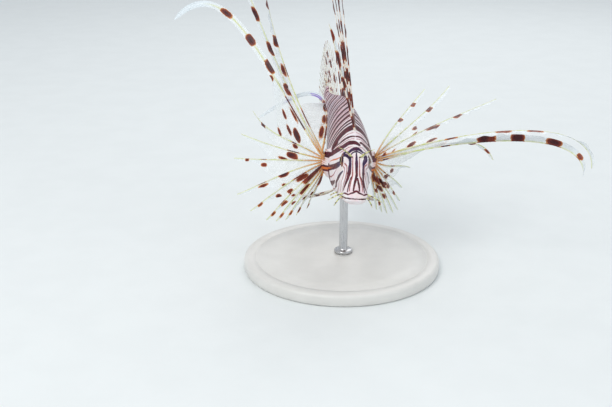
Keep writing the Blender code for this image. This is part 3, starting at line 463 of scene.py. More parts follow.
def new_piece(name, points, faces, marks, material, crisp=None):
    """A smooth mesh with painted measures on its points; edges of more than crisp degrees stay sharp."""
    mesh = bpy.data.meshes.new(name)
    mesh.from_pydata(np.reshape(points, (-1, 3)).tolist(), [], faces)
    mesh.shade_smooth()
    if crisp:
        mesh.set_sharp_from_angle(angle=math.radians(crisp))
    for mark, values in marks.items():
        measure = mesh.attributes.new(mark, "FLOAT", "POINT")
        measure.data.foreach_set("value", np.asarray(values, np.float32).ravel())
    mesh.materials.append(material)
    piece = bpy.data.objects.new(name, mesh)
    bpy.context.scene.collection.objects.link(piece)
    return piece


def fasten(name, slot, mesh, material, *nodes, crisp=None):
    """A piece of points, faces and marks that rides on the model in place of those nodes; slot is not used.
    """
    piece = new_piece(name, *mesh, material, crisp)
    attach(piece, "root")
    if nodes:
        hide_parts(*nodes)
    return piece


def ring_quads(rings, sides):
    """Quads between the rings of a closed tube."""
    k = np.arange(sides)
    n = (k + 1) % sides
    first = np.arange(rings - 1)[:, None] * sides
    return np.stack([first + k, first + n, first + sides + n, first + sides + k], -1).reshape(-1, 4)


def ball_faces(rings, sides, turned=False):
    """Faces of rings between two poles, which are the last two points; turned faces look the other way."""
    k = np.arange(sides)
    n, last, pole = (k + 1) % sides, (rings - 1) * sides, np.full(sides, rings * sides)
    quads = ring_quads(rings, sides)
    fans = np.concatenate([np.stack([pole, n, k], -1), np.stack([pole + 1, last + k, last + n], -1)])
    if turned:
        quads, fans = quads[:, [1, 0, 3, 2]], fans[:, [0, 2, 1]]
    return quads.tolist() + fans.tolist()


class Finish:
    """A material in the making: coats of colour laid over each other, then its relief and roughness."""

    def __init__(self, name, roughness, **constants):
        self.material = bpy.data.materials.new(name)
        self.material.use_nodes = True
        self.tree = self.material.node_tree
        self.shader = self.tree.nodes["Principled BSDF"]
        self.shader.inputs["Roughness"].default_value = roughness
        for socket, value in constants.items():
            self.shader.inputs[socket.replace("_", " ")].default_value = value

    def node(self, kind, sockets, output=0, **settings):
        made = self.tree.nodes.new("ShaderNode" + kind)
        for key, value in settings.items():
            setattr(made, key, value)
        for socket, value in sockets.items():
            if isinstance(value, bpy.types.NodeSocket):
                self.tree.links.new(value, made.inputs[socket])
            else:
                made.inputs[socket].default_value = value
        return made.outputs[output]

    def grain(self, scale, detail=3.0, stretch=None):
        """Noise from 0 to 1 in the model's own space; scale is waves to the metre."""
        where = self.node("TexCoord", {}, "Object")
        if stretch:
            where = self.node("Mapping", {"Vector": where, "Scale": stretch})
        sockets = {"Vector": where, "Scale": scale, "Detail": detail, "Roughness": 0.55}
        return self.node("TexNoise", sockets, "Fac")

    def mark(self, name):
        """A measure painted on the mesh's points."""
        return self.node("Attribute", {}, "Fac", attribute_name=name)

    def sums(self, operation, *values):
        return self.node("Math", dict(enumerate(values)), operation=operation)

    def ease(self, value, low, high, start=0.0, end=1.0):
        """A smooth step from start to end as the value goes from low to high."""
        sockets = {"Value": value, "From Min": low, "From Max": high, "To Min": start, "To Max": end}
        return self.node("MapRange", sockets, interpolation_type="SMOOTHSTEP")

    def over(self, share, below, above):
        """The colour above laid over the colour below, by share."""
        return self.node("Mix", {0: share, 6: below, 7: above}, 2, data_type="RGBA")

    def coat(self, below, above, value, low, high, most=1.0):
        """The colour above laid over the colour below, up to most, as the value goes from low to high."""
        return self.over(self.ease(value, low, high, 0.0, most), below, above)

    def brushed(self, name, soft, wander=0.20):
        """Share of a line's paint: 1 inside its edge and 0 outside, with an edge that is a little uneven."""
        uneven = self.sums("MULTIPLY", self.sums("SUBTRACT", self.grain(1100.0), 0.5), wander * 2)
        return self.ease(self.sums("ADD", self.mark(name), uneven), soft, -soft)

    def done(self, colour, height, depth, strength=0.6, rough=None, **linked):
        """The material, with that colour, relief depth metres deep, and roughness as (grain, low, high)."""
        bump = {"Strength": strength, "Distance": depth, "Height": height}
        linked.update({"Base Color": colour, "Normal": self.node("Bump", bump, "Normal")})
        if rough:
            linked["Roughness"] = self.ease(rough[0], 0.3, 0.7, *rough[1:])
        for socket, value in linked.items():
            self.tree.links.new(value, self.shader.inputs[socket])
        return self.material


CREAM, WARM_CREAM, ROSE = (0.88, 0.83, 0.85, 1), (0.84, 0.74, 0.72, 1), (0.80, 0.52, 0.59, 1)
LAVENDER, NIGHT_BLUE = (0.60, 0.37, 0.54, 1), (0.028, 0.016, 0.075, 1)
MAROON, WINE = (0.062, 0.008, 0.016, 1), (0.125, 0.014, 0.026, 1)
RUST_BROWN, RUST_ORANGE = (0.32, 0.075, 0.060, 1), (0.66, 0.16, 0.025, 1)


def skin_paint(f):
    """Colour of the skin: the ground, the fine lines, the bars, the dark eye band and the rust lines."""
    ground = f.coat(CREAM, WARM_CREAM, f.grain(160.0), 0.35, 0.70)
    ground = f.coat(ground, ROSE, f.grain(90.0, 4.0), 0.48, 0.72, 0.65)
    lilac = f.coat(LAVENDER, ROSE, f.grain(210.0), 0.40, 0.65)
    ground = f.over(f.sums("MULTIPLY", f.mark("rear"), 0.50), ground, lilac)
    ground = f.coat(ground, WARM_CREAM, f.mark("lobe"), 0.05, 0.7, 0.7)
    ground = f.coat(ground, RUST_ORANGE, f.mark("ridge"), 0.15, 0.62, 0.9)
    ground = f.coat(ground, ROSE, f.mark("fine"), 0.75, 0.1, 0.35)
    lined = f.over(f.brushed("fine", 0.12), ground, RUST_BROWN)
    dark = f.coat(MAROON, WINE, f.grain(420.0), 0.40, 0.62)
    dark = f.over(f.sums("MULTIPLY", f.mark("night"), 0.85), dark, NIGHT_BLUE)
    barred = f.over(f.brushed("bold", 0.10, 0.24), lined, dark)
    return f.over(f.brushed("rust", 0.12), barred, RUST_ORANGE)


def skin_finish():
    wet = {"Coat_Weight": 0.12, "Coat_Roughness": 0.12, "Subsurface_Weight": 0.04, "Subsurface_Scale": 0.001}
    f = Finish("painted_skin", 0.4, Specular_IOR_Level=0.3, **wet)
    pores, folds = f.grain(3600.0), f.grain(700.0, 4.0)
    bumps = f.sums("ADD", f.sums("MULTIPLY", pores, 0.5), folds)
    return f.done(skin_paint(f), bumps, 0.00016, rough=(pores, 0.34, 0.52))


ends = np.array([SKIN[0].mean(0), SKIN[-1].mean(0)])
first, last = slice(SKIN_COLUMNS), slice(-SKIN_COLUMNS, None)
marks = {name: np.append(v, [v[first].mean(), v[last].mean()]) for name, v in SKIN_PAINT.items()}
whole_skin = (np.concatenate([SKIN.reshape(-1, 3), ends]), ball_faces(rows, SKIN_COLUMNS, turned=True), marks)
fasten("fish_skin", "skin", whole_skin, skin_finish(), "head", "lower_jaw", "trunk", "tail_stalk",
       "pectoral_lobe_left", "pectoral_lobe_right")

# ============================================================ Scales
# The real scales are thin, round, smooth-edged plates of bone, each set in a pocket of the skin under the one
# ahead. Here they are small lens-shaped plates laid tail-ward in staggered rows and painted with the skin.
SCALE_ROW, SCALE_PITCH = 0.98, 1.06  # mm between rows, and round the body
SCALE_LONG, SCALE_WIDE = 1.95, 1.42  # mm
SCALES_FROM, SCALES_TO = 0.108, 1.012
SCALE_SIZES = ((0.10, 0.20, 0.32, 0.85, 1.02), (0.62, 0.72, 1.0, 0.95, 0.70))  # size against station
# Corners of one scale as shares of its length and width, and their lift in mm; the last is its crown
SCALE_SHAPE = np.array((
    (-0.50, 0.0, -0.20), (-0.22, -0.42, -0.13), (0.14, -0.50, -0.035), (0.40, -0.31, 0.030),
    (0.52, 0.0, 0.050), (0.40, 0.31, 0.030), (0.14, 0.50, -0.035), (-0.22, 0.42, -0.13), (0.08, 0.0, 0.030),
))
SCALE_RIM = len(SCALE_SHAPE) - 1
SCALE_FACES = [(SCALE_RIM, k, (k + 1) % SCALE_RIM) for k in range(SCALE_RIM)]
SCALE_FACES += [(0, k + 1, k) for k in range(1, SCALE_RIM - 1)]
SUNK_SCALE = 0.16  # mm that a scale lies deeper where the scaled skin runs out
BARE_HALF, BARE_FROM, BARE_TO = 0.005, 0.27, 0.93  # the bare strip under the fins: half width, stations
SCALE_PATCH = 0.0015  # half the side of a scale's patch on the skin's unwrap
SCALE_JITTER, SCALE_VARIES = 0.25, (0.92, 1.08)  # shifts on the skin's grid, and sizes, at random
# The front edge of the scaled skin: how far it lies behind the first row, how it weaves, over what stretch
# the scales rise behind it, and the least rise of a scale that is kept. The throat is bare for longer. These
# are stations and radians.
EDGE_BACK, EDGE_WEAVE, EDGE_WAVES, EDGE_RISE, LEAST_RISE = 0.020, 0.016, 2.7, 0.045, 0.12
THROAT_BARE, THROAT = 0.10, (1.9, 2.5)
EYE_BARE, LOBE_BARE = (0.0068, 0.0092), (0.0004, 0.0022)  # metres over which they rise beside eye and lobe
scale_draw = np.random.default_rng(5)


def from_skin(values, row, column):
    """Values of the skin's grid read between its rows and columns."""
    grid = values.reshape(rows, SKIN_COLUMNS, -1)
    row, column = np.clip(row, 0, rows - 1.001), column % SKIN_COLUMNS
    r, c = row.astype(int), column.astype(int)
    t, s = (row - r)[..., None], (column - c)[..., None]
    n = (c + 1) % SKIN_COLUMNS
    near, far = (grid[k, c] * (1 - s) + grid[k, n] * s for k in (r, r + 1))
    return near * (1 - t) + far * t


def scale_places():
    """Rows, columns and sizes of all scales on the skin's grid."""
    places, station, row_number = [], SCALES_FROM, 0
    while station < SCALES_TO:
        size = float(np.interp(station, *SCALE_SIZES))
        row = float(np.interp(station, SKIN_AT, np.arange(rows)))
        ring = from_skin(SKIN, np.full(SKIN_COLUMNS, row), np.arange(SKIN_COLUMNS, dtype=float))
        girth = np.linalg.norm(np.roll(ring, -1, 0) - ring, axis=1).sum() * 1000
        count = round(girth / (SCALE_PITCH * size))
        places += [(row, (k + 0.5 * (row_number % 2)) / count * SKIN_COLUMNS, size) for k in range(count)]
        station += SCALE_ROW * size / BODY_MM
        row_number += 1
    return np.array(places).T


def scale_finish():
    """The skin's paint on the scales, each painted a little paler towards its raised free edge: a painted
    highlight.
    """
    wet = {"Coat_Weight": 0.18, "Coat_Roughness": 0.10, "Subsurface_Weight": 0.03, "Subsurface_Scale": 0.001}
    f = Finish("painted_scales", 0.35, Specular_IOR_Level=0.3, **wet)
    pale = f.sums("MAXIMUM", f.sums("MINIMUM", f.mark("bold"), 1.0), 0.0)
    # painted highlight: cream laid towards each scale's raised free edge, off the dark bars
    edge = f.sums("MULTIPLY", f.ease(f.mark("tip"), 0.55, 1.0, 0.0, 0.16), pale)
    ridges = f.grain(5200.0)
    return f.done(f.over(edge, skin_paint(f), CREAM), ridges, 0.00006, rough=(ridges, 0.28, 0.46))


row, column, size = scale_places()
row = row + scale_draw.uniform(-SCALE_JITTER, SCALE_JITTER, len(row))
column = column + scale_draw.uniform(-SCALE_JITTER, SCALE_JITTER, len(row))
size = size * scale_draw.uniform(*SCALE_VARIES, len(row))
measures = (flat_a, flat_l, around, lobe_gap)
place_a, place_l, place_turn, place_gap = (from_skin(v, row, column)[:, 0] for v in measures)
# The scales rise out of the skin over a short way at the cheeks, the throat, the orbits and the fins' roots.
front = SCALES_FROM + EDGE_BACK + EDGE_WEAVE * np.sin(EDGE_WAVES * place_turn)
front = front + THROAT_BARE * eased(place_turn, *THROAT)
clear = eased(eye_gap(from_skin(SKIN, row, column)), *EYE_BARE) * eased(place_gap, *LOBE_BARE)
risen = eased(place_a, front, front + EDGE_RISE) * clear
under_fins = (np.abs(place_l) < BARE_HALF) & (place_a > BARE_FROM) & (place_a < BARE_TO)
kept = (risen > LEAST_RISE) & ~under_fins
row, column, size, risen = (v[kept][:, None] for v in (row, column, size, risen))
size = size * (0.75 + 0.25 * risen)

row_step = np.linalg.norm(np.gradient(SKIN, axis=0), axis=-1) * 1000
column_step = np.linalg.norm(np.roll(SKIN, -1, 1) - np.roll(SKIN, 1, 1), axis=-1) * 500
along, aside, rise = SCALE_SHAPE.T
rows_at = row + along * SCALE_LONG * size / from_skin(row_step, row, column)[..., 0]
columns_at = column + aside * SCALE_WIDE * size / from_skin(column_step, row, column)[..., 0]
lifts = (rise * size - SUNK_SCALE * (1 - risen)) / 1000
points = from_skin(SKIN, rows_at, columns_at) + from_skin(SKIN_OUT, rows_at, columns_at) * lifts[..., None]
faces = (np.arange(len(row)) * len(SCALE_SHAPE))[:, None, None] + np.array(SCALE_FACES)
marks = {name: from_skin(v, rows_at, columns_at) for name, v in SKIN_PAINT.items()}
marks["tip"] = np.broadcast_to(along + 0.5, rows_at.shape)
plates = (points, faces.reshape(-1, 3).tolist(), marks)
scales = fasten("body_scales", "skin", plates, scale_finish(), crisp=50)
unwrap = scales.data.uv_layers.new(name="OFBake")
root = np.stack([column % SKIN_COLUMNS / SKIN_COLUMNS, row / rows], -1) * 0.99 + 0.005
patch = root + SCALE_SHAPE[:, 1::-1] * 2 * SCALE_PATCH
loops = np.zeros(len(scales.data.loops), np.int32)
scales.data.loops.foreach_get("vertex_index", loops)
unwrap.data.foreach_set("uv", patch.reshape(-1, 2)[loops].astype(np.float32).ravel())

# ============================================================ Eyes
# Each eye is a firm ball that stands out of its orbit: a black pupil over a domed lens, a thin gold ring and
# a rusty iris crossed by the dark band of the head, under a clear cornea. Cast as one ball and painted.
EYE_RINGS, EYE_SPOKES = 56, 72
PUPIL, IRIS = math.radians(25), math.radians(62)
LENS_DOME, IRIS_DIP, IRIS_DIP_HALF = 0.00028, 0.00012, 0.22  # metres, metres, radians
EYE_CLEAR = 0.00008  # the ball is this much smaller than its orbit's lining
EYE_BAND = unit((0.62, 0.0, 0.78))  # square to the dark band that crosses the iris


def eye_finish():
    f = Finish("glass_eye", 0.12, Coat_Weight=0.2, Coat_Roughness=0.03, Specular_IOR_Level=0.25)
    away = f.sums("ADD", f.mark("away"), f.sums("MULTIPLY", f.grain(900.0), 0.03))
    threads = f.grain(2600.0, 5.0)
    iris = f.coat((0.13, 0.022, 0.016, 1), (0.30, 0.095, 0.045, 1), threads, 0.35, 0.65)
    iris = f.coat(iris, (0.60, 0.50, 0.42, 1), f.grain(620.0), 0.56, 0.72, 0.45)
    iris = f.coat(iris, (0.045, 0.012, 0.030, 1), f.mark("band"), 2.3, 1.6)
    iris = f.coat(iris, (0.85, 0.62, 0.26, 1), away, 0.53, 0.485)
    iris = f.coat(iris, (0.003, 0.003, 0.005, 1), away, 0.475, 0.445)
    iris = f.coat(iris, (0.10, 0.02, 0.03, 1), away, 1.02, 1.10)
    return f.done(iris, threads, 0.00004, 0.3, rough=(threads, 0.06, 0.14))


def eyeball(side):
    """Points, faces and painted measures of one eye."""
    look = eye_look(side)
    up = unit(np.cross(look, (1.0, 0.0, 0.0)))
    polar = np.linspace(0, math.pi, EYE_RINGS + 1)[1:-1]
    spoke = np.linspace(0, 2 * math.pi, EYE_SPOKES, endpoint=False)
    ring = np.cos(spoke)[:, None] * np.cross(up, look) + np.sin(spoke)[:, None] * up
    ways = np.cos(polar)[:, None, None] * look + np.sin(polar)[:, None, None] * ring
    ways = np.concatenate([ways.reshape(-1, 3), [look, -look]])
    away = np.append(np.repeat(polar, EYE_SPOKES), [0, math.pi])
    dome = LENS_DOME * (1 - eased(away, PUPIL * 0.5, PUPIL * 1.15))
    swell = dome - IRIS_DIP * bell((away - 0.65 * IRIS) / IRIS_DIP_HALF)
    local = ways * (EYE_SIZES - EYE_CLEAR + swell[:, None])
    marks = {"away": away, "band": np.abs(local @ EYE_BAND) * 1000}
    return eye_centre(side) + local @ np.stack(body_axes(EYE[0])), ball_faces(len(polar), EYE_SPOKES), marks


glass_eye = eye_finish()
for side, side_name in SIDES:
    fasten(f"eyeball_{side_name}", "eye", eyeball(side), glass_eye, f"eye_{side_name}")

# ============================================================ Brow tentacles and face tabs
# Soft skin flaps: a fringed tentacle over each eye, two tabs at each corner of the mouth, one on each cheek.
# Each is a flattened tapering stem with short side fringes, moulded in soft vinyl and rooted in the skin.
FLAP_ROWS, FLAP_SIDES, FLAP_BEND = 26, 10, 1.2
FLAP_TIP, FLAP_FLATNESS, FLAP_ROOTED = 0.00018, 0.5, 0.0006  # metres, share of the width, depth in the skin
# kind, station, degrees from the back's midline, first and last way (back, out, up), length, radius, fringes
FLAPS = (
    ("brow_tentacle", 0.150, 13, (0.0, 0.65, 0.75), (0.25, 0.95, 0.20), 0.066, 0.0009, 7),
    ("lip_tab_long", 0.040, 78, (-0.5, 1.0, -0.10), (-0.6, 1.0, -0.50), 0.070, 0.0008, 4),
    ("lip_tab_short", 0.066, 104, (-0.25, 0.75, -0.60), (-0.1, 0.30, -1.0), 0.050, 0.0008, 3),
    ("cheek_tab", 0.175, 118, (0.35, 0.8, -0.5), (0.6, 0.3, -0.8), 0.045, 0.0008, 2),
)
FRINGE_LENGTH, FRINGE_RADIUS = 0.30, 0.55  # shares of the stem's length and of its radius
FRINGE_ROWS, FRINGE_SIDES = 9, 7
FLAP_TAPER, PADDLE, PADDLE_AT, PADDLE_HALF = 0.7, 0.5, 0.72, 0.14  # a stem broadens by PADDLE near its tip
FRINGES_FROM, FRINGES_OVER, FRINGE_SHIFT = 0.30, 0.58, 0.3  # shares of the stem, and the random shift of each
SKEW = (0.2, 0.3, 1.0)  # a way that no stem runs along, so that each has a way across it
flap_draw = np.random.default_rng(23)


def bent_path(root, start, end, length, count, bend, rooted=0.0):
    """Points along a stem that leaves its root along start, from rooted metres inside, and turns to end."""
    t = ((np.arange(count - 1) + 0.5) / (count - 1))[:, None] ** bend
    steps = unit(start * (1 - t) + end * t) * ((length + rooted) / (count - 1))
    return root - start * rooted + np.concatenate([np.zeros((1, 3)), steps.cumsum(axis=0)])


def tube_faces(tubes, rings, sides):
    """Faces of closed tubes: quads between their rings, and flat ends."""
    starts = np.arange(tubes) * rings * sides
    k, last = np.arange(sides), (rings - 1) * sides
    quads = (ring_quads(rings, sides) + starts[:, None, None]).reshape(-1, 4)
    return quads.tolist() + [end.tolist() for start in starts for end in (start + k[::-1], start + last + k)]


def tubes(paths, wide, deep, sides, across=None):
    """Points and faces of closed tapering tubes; paths is (tube, row, 3), wide and deep are half sizes."""
    along = unit(np.gradient(paths, axis=1))
    if across is None:
        across = unit(np.cross(along, SKEW))
    across = unit(across - along * (across * along).sum(-1, keepdims=True))
    turn = 2 * math.pi * np.arange(sides)[:, None] / sides
    wide, deep = (np.broadcast_to(v, paths.shape[:2])[..., None, None] for v in (wide, deep))
    ring = across[:, :, None] * np.cos(turn) * wide
    ring = ring + np.cross(along, across)[:, :, None] * np.sin(turn) * deep
    return (paths[:, :, None] + ring).reshape(-1, 3), tube_faces(*paths.shape[:2], sides)


def joined(parts):
    """Points, faces and painted measures of several parts as one mesh."""
    points, faces, marks = zip(*parts)
    first = np.cumsum([0] + [len(v) for v in points])
    faces = [[v + start for v in face] for start, some in zip(first.tolist(), faces) for face in some]
    marks = {name: np.concatenate([m[name] for m in marks]) for name in marks[0]}
    return np.concatenate(points), faces, marks


def flap_finish():
    wet = {"Coat_Weight": 0.3, "Coat_Roughness": 0.15, "Subsurface_Weight": 0.15, "Subsurface_Scale": 0.001}
    f = Finish("soft_flap", 0.45, **wet)
    colour = f.coat((0.60, 0.62, 0.16, 1), (0.78, 0.76, 0.42, 1), f.grain(900.0), 0.40, 0.62)
    uneven = f.sums("MULTIPLY", f.grain(400.0), 3.0)
    rings = f.sums("SINE", f.sums("ADD", f.sums("MULTIPLY", f.mark("along"), 17.0), uneven))
    colour = f.coat(colour, (0.13, 0.07, 0.035, 1), rings, 0.35, 0.75)
    colour = f.coat(colour, (0.10, 0.03, 0.03, 1), f.mark("along"), 0.14, 0.0)
    return f.done(colour, f.grain(2600.0), 0.00008, rough=(f.grain(3000.0), 0.36, 0.56))


def face_flap(side, station, degrees, start, end, length, radius, fringes):
    """Points, faces and measures of one flap: its stem, a broader tip and its fringes."""
    root, _ = outline_at(station, math.radians(degrees) * side, -FLAP_ROOTED)
    start, end = fish_way(station, start, side), fish_way(station, end, side)
    stem = bent_path(root, start, end, length * BODY + FLAP_ROOTED, FLAP_ROWS, FLAP_BEND)
    share = np.linspace(0, 1, FLAP_ROWS)
    paddle = 1 + PADDLE * bell((share - PADDLE_AT) / PADDLE_HALF)
    wide = radius * (1 - share) ** FLAP_TAPER * paddle + FLAP_TIP
    deep = np.maximum(wide * FLAP_FLATNESS, FLAP_TIP * 0.8)
    parts = [(*tubes(stem[None], wide, deep, FLAP_SIDES), {"along": np.repeat(share, FLAP_SIDES)})]
    way, out = unit(np.gradient(stem, axis=0)), np.linspace(0, 1, FRINGE_ROWS)
    for k in range(fringes):
        shift = flap_draw.uniform(-FRINGE_SHIFT, FRINGE_SHIFT)
        down = FRINGES_FROM + FRINGES_OVER * (k + shift) / max(fringes - 1, 1)
        at = int(down * (FLAP_ROWS - 1))
        aside = unit(np.cross(way[at], SKEW)) * (1 if k % 2 else -1)
        long = FRINGE_LENGTH * length * BODY * flap_draw.uniform(0.6, 1.1) * (1 - 0.35 * share[at])
        ways = unit(way[at] * 0.7 + aside), unit(way[at] + aside * 0.45)
        thin = radius * FRINGE_RADIUS * (1 - 0.8 * out) * (1 - 0.4 * share[at])
        path = bent_path(stem[at], *ways, long, FRINGE_ROWS, 1.0)
        fringe = tubes(path[None], thin, thin * 0.6, FRINGE_SIDES)
        parts.append((*fringe, {"along": np.repeat(share[at] + 0.3 * out, FRINGE_SIDES)}))
    return joined(parts)


soft_flap = flap_finish()
for kind, *shape in FLAPS:
    for side, side_name in SIDES:
        fasten(f"{kind}_skin_{side_name}", "flap", face_flap(side, *shape), soft_flap, f"{kind}_{side_name}")

# ============================================================ Dorsal spines
# Thirteen stiff, sharp, venomous spines stand along the back. Each is a tapering spike of bone, banded dark
# and pale, with a loose sail of skin down its rear edge that joins the next spine only near the back.
SPINES, SPINE_ROWS, SPINE_SIDES = 13, 90, 10
SPINE_START, SPINE_END = 0.285, 0.700
SPINE_LENGTHS = (0.46, 0.56, 0.60, 0.60, 0.57, 0.53, 0.49, 0.44, 0.39, 0.33, 0.26, 0.19, 0.23)
SPINE_RAKES = (8, 11, 14, 16, 18, 20, 22, 24, 26, 28, 30, 32, 32)  # degrees back from upright
SPINE_LEANS = (-18, -10, -14, -11, -12, -10, -9, -8, -8, -7, -7, -6, -6)  # degrees to the right
SPINE_CURVE, SPINE_BEND = 0.15, 1.4
SPINE_ROOT, SPINE_POINT, SPINE_ROOTED = 0.00075, 0.00012, 0.0012  # radii, and depth under the skin, metres
SAIL_WIDTH, SAIL_COLUMNS, SAIL_THICK, SAIL_REACH = 0.0030, 9, 0.00030, 0.17
SAIL_BILLOW, SAIL_SPREAD = 0.0003, 0.45  # metres that it bellies, and share of its reach over which it parts
SAIL_SHAPE = ((0, 0.25, 0.45, 0.72, 0.92, 1), (0.35, 0.40, 0.75, 1.0, 0.55, 0.08))  # width along the spine
SAIL_SIZES = ((0.19, 0.4, 0.6), (0.55, 0.9, 1.0))  # and by the spine's length
# A free ribbon waves: metres from wave to wave, and a wave's height as a share of the width and at most
WAVE_LENGTH, WAVE_SHARE, WAVE_MOST = 0.011, 0.16, 0.0006
WAVE_SHIFT = 2.1  # radians from one ribbon's waves to the next one's
THIN_ACROSS, THIN_ALONG = 0.55, 0.5  # how much thinner a skin is at its free edge, and at its end
RAY_TAPER, JOINT_SWELL, BLOT_SQUARENESS = 0.8, 0.13, 2.6
# Middle of each dark band in mm from the back, and half of it; they stand lower on each next spine
SPINE_BANDS, BAND_FALL = ((6, 3.6), (18, 4.3), (31, 4.0), (46, 5.8), (61, 4.0), (75, 4.3)), 1.5
ICE, VIOLET, AMBER = (0.84, 0.91, 0.95, 1), (0.30, 0.20, 0.62, 1), (0.62, 0.21, 0.035, 1)
DARK_BLOT, BLOT_HEART, BLOT_RUST = (0.16, 0.022, 0.014, 1), (0.060, 0.010, 0.012, 1), (0.26, 0.040, 0.016, 1)
SHAFT_CREAM, SHAFT_GREEN = (0.80, 0.76, 0.62, 1), (0.62, 0.68, 0.24, 1)
band_draw = np.random.default_rng(31)


def ray_lengths(rays):
    return np.linalg.norm(np.diff(rays, axis=1), axis=2).sum(axis=1)


def read_line(at, known, line):
    """Points of a line at those measures, from the measures known at its own points."""
    return np.stack([np.interp(at, known, v) for v in line.T], 1)


def next_ways(rays):
    """For each ray, the way along it and the way to the next ray square to it."""
    along = unit(np.gradient(rays, axis=1))
    apart = np.gradient(rays, axis=0)
    apart[:, 0] = apart[:, 1]
    return along, unit(apart - along * (apart * along).sum(-1, keepdims=True))


def fin_sheet(grid, out, thick):
    """A closed sheet over a grid of points: two faces set apart by thick, joined round the rim."""
    half = out * (thick / 2)[..., None]
    at = np.arange(thick.size).reshape(thick.shape)
    quads = np.stack([at[:-1, :-1], at[1:, :-1], at[1:, 1:], at[:-1, 1:]], -1).reshape(-1, 4)
    rim = np.concatenate([at[0, :-1], at[:-1, -1], at[-1, :0:-1], at[:0:-1, 0]])
    after = np.roll(rim, -1)
    edge = np.stack([rim, after, after + at.size, rim + at.size], -1)
    points = np.stack([grid + half, grid - half]).reshape(-1, 3)
    return points, np.concatenate([quads[:, ::-1], quads + at.size, edge]).tolist()


def blot_edge(along, aside, blots):
    """Millimetres from each point to the nearest blot's edge; a blot is (along, aside, half sizes) in mm."""
    edge = np.full(np.broadcast(along, aside).shape, UNPAINTED)
    for middle, beside, half_long, half_wide in blots:
        reach = np.abs((along - middle) / half_long) ** BLOT_SQUARENESS
        reach = reach + np.abs((aside - beside) / half_wide) ** BLOT_SQUARENESS
        edge = np.minimum(edge, (reach ** (1 / BLOT_SQUARENESS) - 1) * min(half_long, half_wide))
    return edge


def fin_skins(rays, reach, ribbon, blots, rooted, billow, thick, columns, spread, before={}, facing={}):
    """The skin of a fin: from each ray a sheet that joins the next ray up to reach, then a free ribbon.

    rays is (ray, row, 3); reach is the joined share of each ray; ribbon is (ray, row) widths in metres.
    blots lists each sheet's dark blots: mm from the ray's root, share across the sheet, half sizes in mm.
    before is the share of a ribbon that lies ahead of its ray, and facing maps a ray to its ribbon's own way.
    """
    count, rows = rays.shape[:2]
    share, u = np.linspace(0, 1, rows), np.linspace(0, 1, columns)[None]
    down = share[:, None]
    lengths, (along, across), parts = ray_lengths(rays), next_ways(rays), []
    for k, after in enumerate([*range(1, count), count - 1]):
        way, ahead = across[k], before.get(k, 0.0)
        if k in facing:
            way = unit(facing[k] - along[k] * (along[k] @ facing[k])[:, None])
        free = np.ones((rows, 1))
        if after > k:
            free = eased(down, reach[k] * (1 - spread * 0.4), reach[k] * (1 + spread * 0.6))
        there = read_line(np.clip(share * reach[after] / reach[k], 0, 1), share, rays[after]) - rays[k]
        web, wide = np.linalg.norm(there, axis=1)[:, None] * (1 - free), ribbon[k][:, None] * free
        aside, width = u - ahead, web + wide
        wave = np.sin(down * lengths[k] / WAVE_LENGTH * 2 * math.pi + WAVE_SHIFT * k) * free
        sag = np.sin(math.pi * u) * np.sin(math.pi * np.clip(down / reach[k], 0, 1)) * billow * 2
        sag = sag * (1 - free) * (1 if k % 2 else -1)
        sag = sag + aside ** 2 * wave * np.minimum(width * WAVE_SHARE, WAVE_MOST)
        face = unit(np.cross(along[k], way))[:, None]
        grid = rays[k][:, None] + (there * (1 - free))[:, None] * u[..., None] + face * sag[..., None]
        grid = grid + way[:, None] * (aside * wide)[..., None]
        thin = thick * (1 - THIN_ACROSS * np.abs(u - ahead * free)) * (1 - THIN_ALONG * down)
        s = (down * lengths[k] - rooted) * 1000
        sized = [(m, np.interp(m, s[:, 0], width[:, 0] * 1000) * b, *half) for m, b, *half in blots[k]]
        off_ray = np.abs(u * web + aside * wide) * 1000
        spot = blot_edge(s, width * u * 1000, sized)
        marks = {"spot": spot, "off_ray": off_ray, "ribbon": free, "along": s}
        marks = {name: np.tile(np.broadcast_to(v, thin.shape).ravel(), 2) for name, v in marks.items()}
        parts.append((*fin_sheet(grid, face, thin), marks))
    return parts


def fin_rays(rays, root, tip, blots, rooted, sides, joint=0.0):
    """The shafts of a fin's rays, ringed at each joint; joint is 0 on a smooth spine."""
    share, lengths = np.linspace(0, 1, rays.shape[1])[None], ray_lengths(rays)[:, None]
    radius = root + (tip - root) * share ** RAY_TAPER + 0 * lengths
    if joint:
        radius = radius * (1 + JOINT_SWELL * np.cos(share * lengths / joint * 2 * math.pi))
    s = (share * lengths - rooted) * 1000
    spot = [blot_edge(along, 0 * along, [b for b in some if b[1] < 0.75]) for along, some in zip(s, blots)]
    marks = {"spot": np.repeat(spot, sides), "along": np.repeat(s, sides)}
    return *tubes(rays, radius, radius, sides, next_ways(rays)[1]), marks


def blot_paint(f, ground, edge):
    """Dark blots with an amber edge, over the ground colour; and the measure of the blots."""
    uneven = f.sums("MULTIPLY", f.sums("SUBTRACT", f.grain(620.0), 0.5), 0.7)
    spot = f.sums("ADD", f.mark("spot"), uneven)
    ring = f.sums("MULTIPLY", f.ease(spot, 0.22, 0.0), f.sums("SUBTRACT", 1.0, f.mark("icy")))
    dark = f.coat(DARK_BLOT, BLOT_HEART, spot, -0.6, -1.5)
    dark = f.coat(dark, BLOT_RUST, f.grain(55.0, 1.0), 0.52, 0.64, 0.6)
    dark = f.over(f.mark("icy"), dark, VIOLET)
    return f.coat(f.over(ring, ground, AMBER), dark, spot, -0.02, -edge), spot


